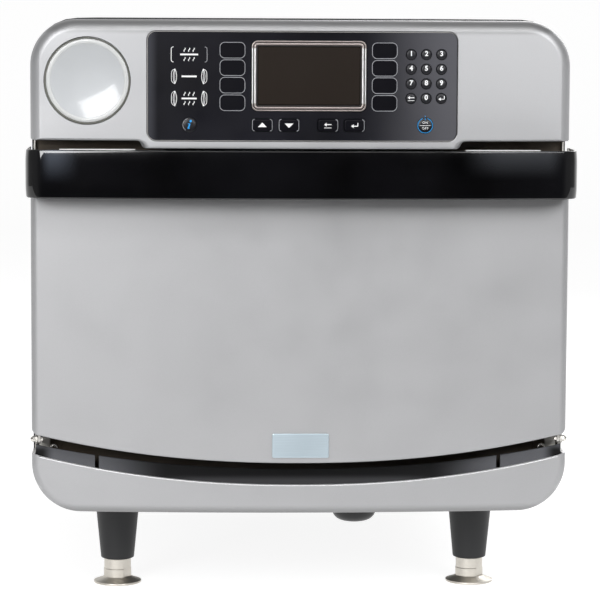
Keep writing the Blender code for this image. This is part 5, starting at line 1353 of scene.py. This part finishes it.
def bead_ring(start, end, crest, foot):
    """Round bead around the bezel between two steps in from its outline."""
    outline = box_outline(BEZEL, BEZEL_CORNER)
    front = BEZEL[0].y
    rings = [(inset(outline, start), front + foot)]
    for step in range(1, BEAD_STEPS):
        turn = math.pi * step / BEAD_STEPS
        along = start + (end - start) * (1 - math.cos(turn)) / 2
        rings.append((inset(outline, along), front + foot - (foot - crest) * math.sin(turn)))
    rings += [(inset(outline, end), front + foot), (inset(outline, end), front + foot + BEZEL_SEAT),
              (inset(outline, start), front + foot + BEZEL_SEAT)]
    return stepped(rings, closed=True)


def display():
    """Bright bezel of two round beads on a dark seat, and the dark window in it; the beads' upper and lower
    bars are tinted brown as painted reflection.
    """
    front = BEZEL[0].y
    outline = box_outline(BEZEL, BEZEL_CORNER)
    rim = BEZEL_RIM - SEAM
    seat = front + BEZEL_SEAT
    outer = inset(outline, SEAM)
    rings = [(outer, BEZEL[1].y), (outer, seat), (inset(outline, rim - SEAM), seat),
             (inset(outline, rim), BEZEL[1].y)]
    piece("bezel_seat", stepped(rings, closed=True), "groove",
          replaces=("display_bezel",))
    beads = [bead_ring(OUTER_BEAD[0], OUTER_BEAD[1], BEAD_SETBACK, BEZEL_SEAT),
             bead_ring(INNER_BEAD[0], INNER_BEAD[1], 0, BEZEL_SEAT)]
    piece("bezel_beads", together(beads), "chrome_painted_reflection", sharp=60)
    glass = box_outline(WINDOW, SEAM)
    near, far = WINDOW[0].y, WINDOW[1].y
    piece("window_glass", stepped([(glass, far), (glass, near + SEAM), (inset(glass, SEAM), near)]), "window",
          replaces=("display_window",))


def badge_piece(name, profile, look, replaces=(), sharp=SHARP_DEG):
    """Turn a profile about the badge's axis into a piece of it."""
    shape = badge_placed(turned(profile, (0, 0, 0), "Y"))
    piece(name, shape, look, replaces=replaces, sharp=sharp)


def badge_disc():
    """Plain silver disc, dished towards its rim."""
    radius = BADGE_RADIUS
    back = BADGE_DEPTH + BADGE_THICKNESS
    plate = [(0, back), (radius, back), (radius, BADGE_DEPTH), (BADGE_FACE, BADGE_DEPTH)]
    for step in range(BADGE_STEPS + 1):
        share = 1 - step / BADGE_STEPS
        plate.append((BADGE_DISH + (BADGE_FACE - BADGE_DISH) * share,
                      BADGE_DEPTH - BADGE_DISH_RISE * share ** 2))
    plate.append((0, BADGE_DEPTH))
    badge_piece("badge_disc_face", plate, "badge", replaces=("badge_disc",))


def badge_surround():
    """White ring round the disc and the wall of its recess."""
    width = BADGE_RING - BADGE_FACE
    base = BADGE_DEPTH - BADGE_DISH_RISE
    foot = BADGE_DEPTH - SEAM
    bead = []
    for step in range(RING_STEPS + 1):
        turn = math.pi * step / RING_STEPS
        bead.append((BADGE_FACE + width / 2 * (1 + math.cos(turn)), base - BADGE_RING_RISE * math.sin(turn)))
    bead += [(BADGE_FACE, foot), (BADGE_RING, foot)]
    badge_piece("badge_white_ring", bead, "badge_ring", sharp=60)
    radius = BADGE_RADIUS - SEAM
    inner = BADGE_RING + SEAM
    wall = [(inner, foot), (radius, foot), (radius, 0), (radius - 2 * SEAM, 0), (inner, base)]
    badge_piece("badge_recess_wall", wall, "badge_wall")


def badge_cover():
    """Clear domed cover over the disc, its edge rounded."""
    radius = BADGE_RADIUS - COVER_GAP
    back = BADGE_DEPTH - BADGE_DISH_RISE - BADGE_RING_RISE - SEAM / 2
    crown = LENS_PROUD - LENS_DOME
    cover = [(0, back), (radius, back), (radius, 0)]
    for step in range(1, COVER_EDGE_STEPS + 1):
        turn = math.pi / 2 * step / COVER_EDGE_STEPS
        cover.append((radius - LENS_EDGE * (1 - math.cos(turn)), -crown * math.sin(turn)))
    flat = radius - LENS_EDGE
    for step in range(1, BADGE_STEPS + 1):
        share = 1 - step / BADGE_STEPS
        cover.append((flat * share, LENS_DOME * share ** 2 - LENS_PROUD))
    badge_piece("badge_clear_cover", cover, "lens", ("badge_lens",), sharp=60)


def door_outline(side, low, high):
    """Front of the door with its arched foot, moved in by a step at its sides, its foot and its top."""
    half = HALF - side
    inner = HALF - DOOR_EDGE - INNER_EDGE
    foot = [(x, arched(x, DOOR[0].z, DOOR_FOOT_RISE) + low, 0) for x in across() if abs(x) < inner]
    end = arched(half, DOOR[0].z, DOOR_FOOT_RISE) + low
    corner = max(DOOR_FOOT_CORNER - side, SEAM)
    top_corner = max(DOOR_TOP_CORNER - high, SEAM)
    top = DOOR[1].z - high
    return [(-half, end, corner), *foot, (half, end, corner),
            (half, top, top_corner), (-half, top, top_corner)]


def door_skin():
    """Silver door skin with round edges, hollow behind and notched for the hinge arms."""
    back = DOOR[1].y
    wall = DOOR_WALL
    skin = moulding(door_outline, FRONT, back, DOOR_EDGE, DOOR_FOOT_EDGE, DOOR_TOP_EDGE)

    def room_outline(side, low, high):
        return door_outline(wall + side, wall + low, wall + high)

    skin = carved(skin, moulding(room_outline, FRONT + wall, back + OVERRUN, INNER_EDGE))
    notches = []
    near = HINGE_Y - HINGE_EYE - NOTCH_GAP
    for side in (-1, 1):
        left, right = sorted((side * (LINER[1].x + NOTCH_GAP), side * (LINER[1].x - NOTCH_DEPTH)))
        notches.append(block((left, near, DOOR[0].z), (right, back + OVERRUN, NOTCH_TOP)))
    skin = carved(skin, together(notches))
    piece("door_skin", skin, "silver", "door", ("door_shell",))


def door_top_strips():
    """Two thin steel strips that stand on the door's top edge, behind the handle, their pale colour a painted
    highlight.
    """
    near = FRONT + TOP_STRIP_SET_BACK
    top = DOOR[1].z
    strips = []
    for side in (-1, 1):
        left, right = sorted((side * TOP_STRIP_REACH[0], side * TOP_STRIP_REACH[1]))
        strips.append(block((left, near, top - DOOR_WALL / 2),
                            (right, near + TOP_STRIP_SHEET, TOP_STRIP_TOP)))
        strips.append(block((left, near + SEAM / 2, top + SEAM),
                            (right, near + TOP_STRIP_FOOT, top + SEAM + TOP_STRIP_SHEET)))
    piece("door_top_strips", together(strips), "top_strip_steel_painted_highlight", "door")


def name_plate():
    """Bare brushed plate with a raised border."""
    outline = box_outline(PLATE, PLATE_CORNER)
    near, far = PLATE[0].y, PLATE[1].y
    step = PLATE_EDGE / 2
    levels = [(outline, far), *soft_edged(outline, near, PLATE_EDGE),
              (inset(outline, PLATE_BORDER - step), near), (inset(outline, PLATE_BORDER), near + step)]
    piece("plate_bare", stepped(levels), "plate", "door", ("name_plate",))


def handle_row(depth):
    """Plan of the strap's surface at a depth behind its outer face, from its left end to its right end."""
    side = HALF + SEAM + HANDLE_THICKNESS - depth
    reach = FRONT - HANDLE[0].y - FRONT_BOW - depth
    bend = HANDLE_BEND - depth
    flat = side - bend
    row = []
    for strip in range(HANDLE_STRIPS + 1):
        x = flat * (2 * strip / HANDLE_STRIPS - 1)
        row.append((x, FRONT - reach - bow(x)))
    edge_y = row[0][1]
    slope = math.atan(2 * FRONT_BOW * flat / HALF ** 2)
    centre = (-flat, edge_y + bend)
    left = []
    for step in range(HANDLE_BEND_STEPS):
        turn = (math.pi / 2 + slope) * step / HANDLE_BEND_STEPS - slope
        left.append((centre[0] - bend * math.cos(turn + slope), centre[1] - bend * math.sin(turn + slope)))
    end = FRONT + HANDLE_ARM_END
    return [(-side, end), *left, *row, *[(-x, y) for x, y in left[::-1]], (side, end)]


def handle_outline(step, crown):
    """Closed plan of the strap drawn in by a step on every side, its outer face by the crown as well."""
    outer, inner = handle_row(step + crown), handle_row(HANDLE_THICKNESS - step)
    for row in (outer, inner):
        row[0] = (row[0][0], row[0][1] - step)
        row[-1] = (row[-1][0], row[-1][1] - step)
    return outer + inner[::-1]


def door_handle():
    """Gloss black strap with a crowned face and soft upper and lower edges; lighter patches near its upper
    edge at both ends are painted highlights.
    """
    levels = []
    low, high = HANDLE[0].z, HANDLE[1].z
    edge = HANDLE_EDGE
    for step in range(HANDLE_EDGE_STEPS + 1):
        turn = math.pi / 2 * step / HANDLE_EDGE_STEPS
        levels.append((edge * (1 - math.sin(turn)), edge * (1 - math.cos(turn))))
    for step in range(1, HANDLE_CROWN_STEPS + 1):
        levels.append((0, edge + (HANDLE_CROWN_REACH - edge) * step / HANDLE_CROWN_STEPS))
    rings = []
    for end, way in ((low, 1), (high, -1)):
        for step, lift in levels[::way]:
            crown = HANDLE_CROWN * (1 - lift / HANDLE_CROWN_REACH) ** HANDLE_CROWN_POWER
            rings.append([(x, y, end + way * lift) for x, y in handle_outline(step, crown)])
    piece("handle_strap", loft(rings), "gloss_painted_highlights", "door", ("door_handle",), sharp=50)
    side_at = HALF + SEAM + HANDLE_THICKNESS
    heads = []
    for side in (-1, 1):
        for z in (low + HANDLE_SCREW_INSET, high - HANDLE_SCREW_INSET):
            heads.append(screw_head((side * side_at, FRONT + HANDLE_SCREW_BACK, z), "X", side))
    piece("handle_screws", together(heads), "core", "door")


def screw_head(centre, axis, way, radius=SCREW_RADIUS, crown=SCREW_CROWN):
    """Pan head with a cross recess, crown along an axis."""
    sink = -SCREW_SINK * way
    profile = [(0, sink), (radius * SCREW_NECK, sink), (radius, crown * SCREW_RIM * way)]
    for step in range(1, SCREW_STEPS + 1):
        turn = math.pi / 2 * step / SCREW_STEPS
        profile.append((radius * (SCREW_FLAT + (1 - SCREW_FLAT) * math.cos(turn)),
                        crown * (SCREW_RIM + (1 - SCREW_RIM) * math.sin(turn)) * way))
    profile.append((0, crown * way))
    head = turned(profile, centre, axis, SCREW_SIDES)
    spots = {"X": (centre[1], centre[2], centre[0]), "Y": (centre[0], centre[2], centre[1])}
    across_at, up_at, along = spots[axis]
    low, high = sorted((way * (crown - SCREW_RECESS), way * (crown + OVERRUN / 4)))
    for wide, tall in ((CROSS_LENGTH / 2, CROSS_WIDTH / 2), (CROSS_WIDTH / 2, CROSS_LENGTH / 2)):
        outline = rectangle(across_at - wide, across_at + wide, up_at - tall, up_at + tall)
        head = carved(head, prism(outline, axis, along + low, along + high))
    return head


def fascia_outline(step, lip_middle, lip_rise):
    """Front of the lower fascia under an arched upper edge, its other sides moved in by a step."""
    lip = [(x, arched(x, lip_middle, lip_rise), 0) for x in across()[::-1]]
    low = FASCIA[0].z
    corners = [(-HALF, low, BOTTOM_CORNER), (HALF, low, BOTTOM_CORNER), *lip]
    return inset(corners, step, high=0)


def lower_fascia():
    """Silver fascia, open along its arched lip, with a painted highlight on the lip and painted shade at its
    foot.
    """
    lip = FASCIA[1].z - LIP_RISE
    back = FRONT + MOULDING_DEPTH
    outline = drawn_from(fascia_outline(0, lip, LIP_RISE))
    shell = moulding(outline, FRONT, back, FASCIA_EDGE, top_edge=LIP_EDGE)
    room = drawn_from(fascia_outline(MOULDING_WALL, lip + LIP_RISE, LIP_RISE))
    shell = carved(shell, moulding(room, FRONT + MOULDING_WALL, back + OVERRUN, INNER_EDGE, top_edge=0))
    piece("fascia_shell", shell, "fascia_silver_painted_highlight_and_shade", replaces=("lower_fascia",))


def drip_trough():
    """Dark wall and floor behind the lip, slotted near both ends; their darker middle under the door is
    painted shade, lighter towards its foot, and their near black ends are painted shadow.
    """
    near = FRONT + TROUGH_SET_BACK
    top = TROUGH[1].z - TROUGH_RISE
    outline = fascia_outline(MOULDING_WALL + SEAM, top, TROUGH_RISE)
    wall = prism(outline, "Y", near, near + TROUGH_WALL)
    slots = []
    for x in TROUGH_SLOTS:
        slots.append(block((x - TROUGH_SLOT_WIDTH / 2, near - OVERRUN, TROUGH_SLOT_FOOT),
                           (x + TROUGH_SLOT_WIDTH / 2, near + TROUGH_WALL + OVERRUN, FASCIA[1].z)))
    wall = carved(wall, together(slots))
    piece("trough_wall", wall, "trough", replaces=("drip_trough",))
    low = FASCIA[0].z + TROUGH_FLOOR_LIFT
    floor = rectangle(-TROUGH_FLOOR_HALF, TROUGH_FLOOR_HALF, low, low + TROUGH_FLOOR)
    front = FRONT + MOULDING_WALL + SEAM
    floor = bowed(prism(floor, "Y", front, near - SEAM), near - SEAM)
    piece("trough_floor", floor, "trough")


def tab_screws():
    """Bright cross-head screws on the hinge brackets' tabs."""
    near = FRAME_FACE - TAB_THICKNESS - SEAM
    up = HINGE_Z - TAB_SCREW_DROP
    heads = [screw_head((side * TAB_SCREW_X, near, up), "Y", -1, crown=TAB_SCREW_CROWN) for side in (-1, 1)]
    piece("hinge_tab_screws", together(heads), "bright")


def leg_cone(place):
    """Tapered leg with soft edges and a bore for the foot's stem."""
    name = f"leg_{place}"
    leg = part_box(name)
    low, high = leg[0].z, leg[1].z
    bore = STEM_RADIUS + SEAM
    side = rounded([(0, high), (LEG_TOP_RADIUS, high), (LEG_FOOT_RADIUS, low), (bore, low)], LEG_ROUND)
    profile = side + [(bore, low + LEG_BORE), (0, low + LEG_BORE)]
    cone = turned(profile, (middle(leg).x, middle(leg).y, 0), "Z")
    piece(f"leg_{place}_cone", cone, "leg", replaces=(name,))


def wrench_flats(x, y):
    """The two cuts that leave flats on a foot's nut."""
    cuts = []
    for side in (-1, 1):
        left, right = sorted((side * (NUT_RADIUS - FLAT_DEPTH), side * (NUT_RADIUS + OVERRUN)))
        cuts.append(block((x + left, y - FLAT_WIDTH, FLARE_TOP),
                          (x + right, y + FLAT_WIDTH, NUT_TOP + FLAT_SPARE)))
    cuts = together(cuts)
    bmesh.ops.rotate(cuts, cent=(x, y, 0), matrix=Matrix.Rotation(FLAT_TURN, 3, "Z"), verts=cuts.verts)
    return cuts


def levelling_foot(place):
    """Turned foot: a rim and a flare, a nut with wrench flats, a collar and a stem."""
    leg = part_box(f"leg_{place}")
    x, y = middle(leg).x, middle(leg).y
    top = leg[0].z - SEAM
    profile = [(0, 0), *[(FLARE_RADIUS - back, up) for back, up in FLARE_RIM]]
    for step in range(FLARE_STEPS + 1):
        share = step / FLARE_STEPS
        radius = NUT_RADIUS + (FLARE_RADIUS - NUT_RADIUS) * (1 - share) ** FLARE_POWER
        profile.append((radius, FLARE_FOOT + (FLARE_TOP - FLARE_FOOT) * share))
    profile += [(NUT_RADIUS, NUT_TOP - FOOT_CHAMFER), (NUT_RADIUS - FOOT_CHAMFER, NUT_TOP),
                (COLLAR_RADIUS, NUT_TOP), (COLLAR_RADIUS, top - FOOT_CHAMFER),
                (COLLAR_RADIUS - FOOT_CHAMFER, top), (STEM_RADIUS, top), (STEM_RADIUS, STEM_TOP),
                (0, STEM_TOP)]
    foot = carved(turned(profile, (x, y, 0), "Z"), wrench_flats(x, y))
    name = f"foot_{place}"
    piece(f"foot_{place}_turned", foot, "foot", name, (name,), sharp=40)


def filter_knob():
    """Black domed knob under the base."""
    x, y = middle(KNOB).x, middle(KNOB).y
    radius = (KNOB[1].x - KNOB[0].x) / 2
    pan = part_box("base_pan")[0].z - SEAM
    low = KNOB[0].z
    profile = [(0, low)]
    fullness = 2 / KNOB_POWER
    for step in range(1, KNOB_STEPS + 1):
        turn = math.pi / 2 * step / KNOB_STEPS
        profile.append((radius * math.sin(turn) ** fullness, pan - (pan - low) * math.cos(turn) ** fullness))
    profile += [(KNOB_STEM, pan), (KNOB_STEM, KNOB[1].z), (0, KNOB[1].z)]
    piece("knob_dome", turned(profile, (x, y, 0), "Z"), "knob", "filter_knob", ("filter_knob",),
          sharp=50)


def dress_frame_nodes():
    """Give the frame's own solids that stay in sight their finishes."""
    looks = {
        "casing_wrap": "casing", "rear_panel": "casing", "base_pan": "casing", "front_frame": "frame_steel",
        "cooking_cavity": "cavity", "top_jet_plate": "cavity", "bottom_jet_plate": "cavity",
        "oven_rack": "wire", "door_liner": "steel", "door_gasket": "rubber",
        "blower_impeller": "steel", "blower_motor": "core",
        "heater_coil": "coil", "magnetron": "core", "waveguide": "steel", "power_transformer": "core",
        "cooling_fan_frame": "fan", "cooling_fan_rotor": "fan", "control_board": "board", "cord_gland": "fan",
        "hinge_pin_left": "bright", "hinge_pin_right": "bright",
    }
    for name, look in looks.items():
        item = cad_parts[name]
        item.data.materials.clear()
        item.data.materials.append(LOOK[look])


def stage_material(name, shade, glow):
    """White that the camera, metal and glass see as lit, and that still takes a faint shadow."""
    material = bpy.data.materials.new(name)
    material.use_nodes = True
    tree = material.node_tree
    tree.nodes.clear()
    output = tree.nodes.new("ShaderNodeOutputMaterial")
    path = tree.nodes.new("ShaderNodeLightPath")
    seen = maths(tree, "MAXIMUM", path.outputs["Is Camera Ray"],
                 maths(tree, "MAXIMUM", path.outputs["Is Glossy Ray"], path.outputs["Is Transmission Ray"]))
    diffuse = tree.nodes.new("ShaderNodeBsdfDiffuse")
    diffuse.inputs["Color"].default_value = (shade, shade, shade, 1)
    emission = tree.nodes.new("ShaderNodeEmission")
    emission.inputs["Color"].default_value = (1, 1, 1, 1)
    tree.links.new(maths(tree, "MULTIPLY", seen, glow), emission.inputs["Strength"])
    both = tree.nodes.new("ShaderNodeAddShader")
    tree.links.new(diffuse.outputs[0], both.inputs[0])
    tree.links.new(emission.outputs[0], both.inputs[1])
    tree.links.new(both.outputs[0], output.inputs["Surface"])
    return material


def stage():
    """Pale floor that curves up into a backdrop behind the oven."""
    points = [(FLOOR_NEAR, 0.0), (BACKDROP_Y - BACKDROP_CURVE, 0.0)]
    for step in range(1, BACKDROP_STEPS + 1):
        turn = math.pi / 2 * step / BACKDROP_STEPS
        points.append((BACKDROP_Y - BACKDROP_CURVE * (1 - math.sin(turn)),
                       BACKDROP_CURVE * (1 - math.cos(turn))))
    points.append((BACKDROP_Y, BACKDROP_TOP))
    shape = bmesh.new()
    rows = [[shape.verts.new((side * FLOOR_HALF, y, z - FLOOR_DROP)) for side in (-1, 1)]
            for y, z in points]
    for low, high in zip(rows, rows[1:]):
        shape.faces.new((low[0], low[1], high[1], high[0]))
    item = loose("studio_floor", shape)
    item.data.shade_smooth()
    item.data.materials.append(stage_material("studio_white", FLOOR_SHADE, FLOOR_GLOW))


def lamp(name, place, target, width, height, power, roll_deg):
    """Soft box that looks at a target, rolled about its own axis."""
    light = bpy.data.lights.new(name, "AREA")
    light.shape = "RECTANGLE"
    light.size = width
    light.size_y = height
    light.energy = power
    item = bpy.data.objects.new(name, light)
    item.location = place
    aim = (Vector(target) - Vector(place)).to_track_quat("-Z", "Y").to_matrix().to_4x4()
    item.rotation_euler = (aim @ Matrix.Rotation(math.radians(roll_deg), 4, "Z")).to_euler()
    bpy.context.scene.collection.objects.link(item)


def world_light():
    """Dim surroundings, darker in front of the oven.

    They are white to the camera, and behind the oven to what metal and glass mirror.
    """
    world = bpy.data.worlds.new("studio_air")
    bpy.context.scene.world = world
    world.use_nodes = True
    tree = world.node_tree
    tree.nodes.clear()
    output = tree.nodes.new("ShaderNodeOutputWorld")
    coordinates = tree.nodes.new("ShaderNodeTexCoord")
    split = tree.nodes.new("ShaderNodeSeparateXYZ")
    tree.links.new(coordinates.outputs["Generated"], split.inputs[0])
    ahead = ramp(tree, split.outputs["Y"], AHEAD, AHEAD_LEVELS)
    behind = ramp(tree, split.outputs["Y"], BEHIND)
    path = tree.nodes.new("ShaderNodeLightPath")
    mirrored = maths(tree, "MAXIMUM", path.outputs["Is Glossy Ray"], path.outputs["Is Transmission Ray"])
    seen = maths(tree, "MAXIMUM", path.outputs["Is Camera Ray"],
                 maths(tree, "MULTIPLY", mirrored, behind))
    air = tree.nodes.new("ShaderNodeBackground")
    tree.links.new(ahead, air.inputs["Strength"])
    white = tree.nodes.new("ShaderNodeBackground")
    white.inputs["Strength"].default_value = 1.0
    white.inputs["Color"].default_value = (1, 1, 1, 1)
    choice = tree.nodes.new("ShaderNodeMixShader")
    tree.links.new(seen, choice.inputs["Fac"])
    tree.links.new(air.outputs[0], choice.inputs[1])
    tree.links.new(white.outputs[0], choice.inputs[2])
    tree.links.new(choice.outputs[0], output.inputs["Surface"])


def lights():
    """Soft boxes at the front left and the front right, over the camera's height, and a weak one behind."""
    world_light()
    for values in LAMPS:
        lamp(*values)


def camera():
    """Camera of the photograph: level with the oven's top and a little to its left."""
    data = bpy.data.cameras.new("studio_camera")
    data.lens = LENS_LENGTH
    data.sensor_width = SENSOR
    data.clip_start, data.clip_end = CLIP
    item = bpy.data.objects.new("studio_camera", data)
    item.matrix_world = (
        Matrix.Translation(CAMERA_PLACE) @ Matrix.Rotation(-CAMERA_YAW, 4, "Z")
        @ Matrix.Rotation(math.pi / 2 - CAMERA_PITCH, 4, "X") @ Matrix.Rotation(CAMERA_ROLL, 4, "Z"))
    bpy.context.scene.collection.objects.link(item)
    bpy.context.scene.camera = item


def build():
    """Make every piece and the studio."""
    control_hood()
    overlay_panel()
    soft_keys()
    cooking_marks()
    key_caps()
    key_prints()
    display()
    badge_disc()
    badge_surround()
    badge_cover()
    door_skin()
    door_top_strips()
    name_plate()
    door_handle()
    lower_fascia()
    drip_trough()
    tab_screws()
    for place in PLACES:
        leg_cone(place)
        levelling_foot(place)
    filter_knob()
    dress_frame_nodes()
    stage()
    lights()
    camera()


build()
bpy.context.scene.view_settings.view_transform = "Standard"
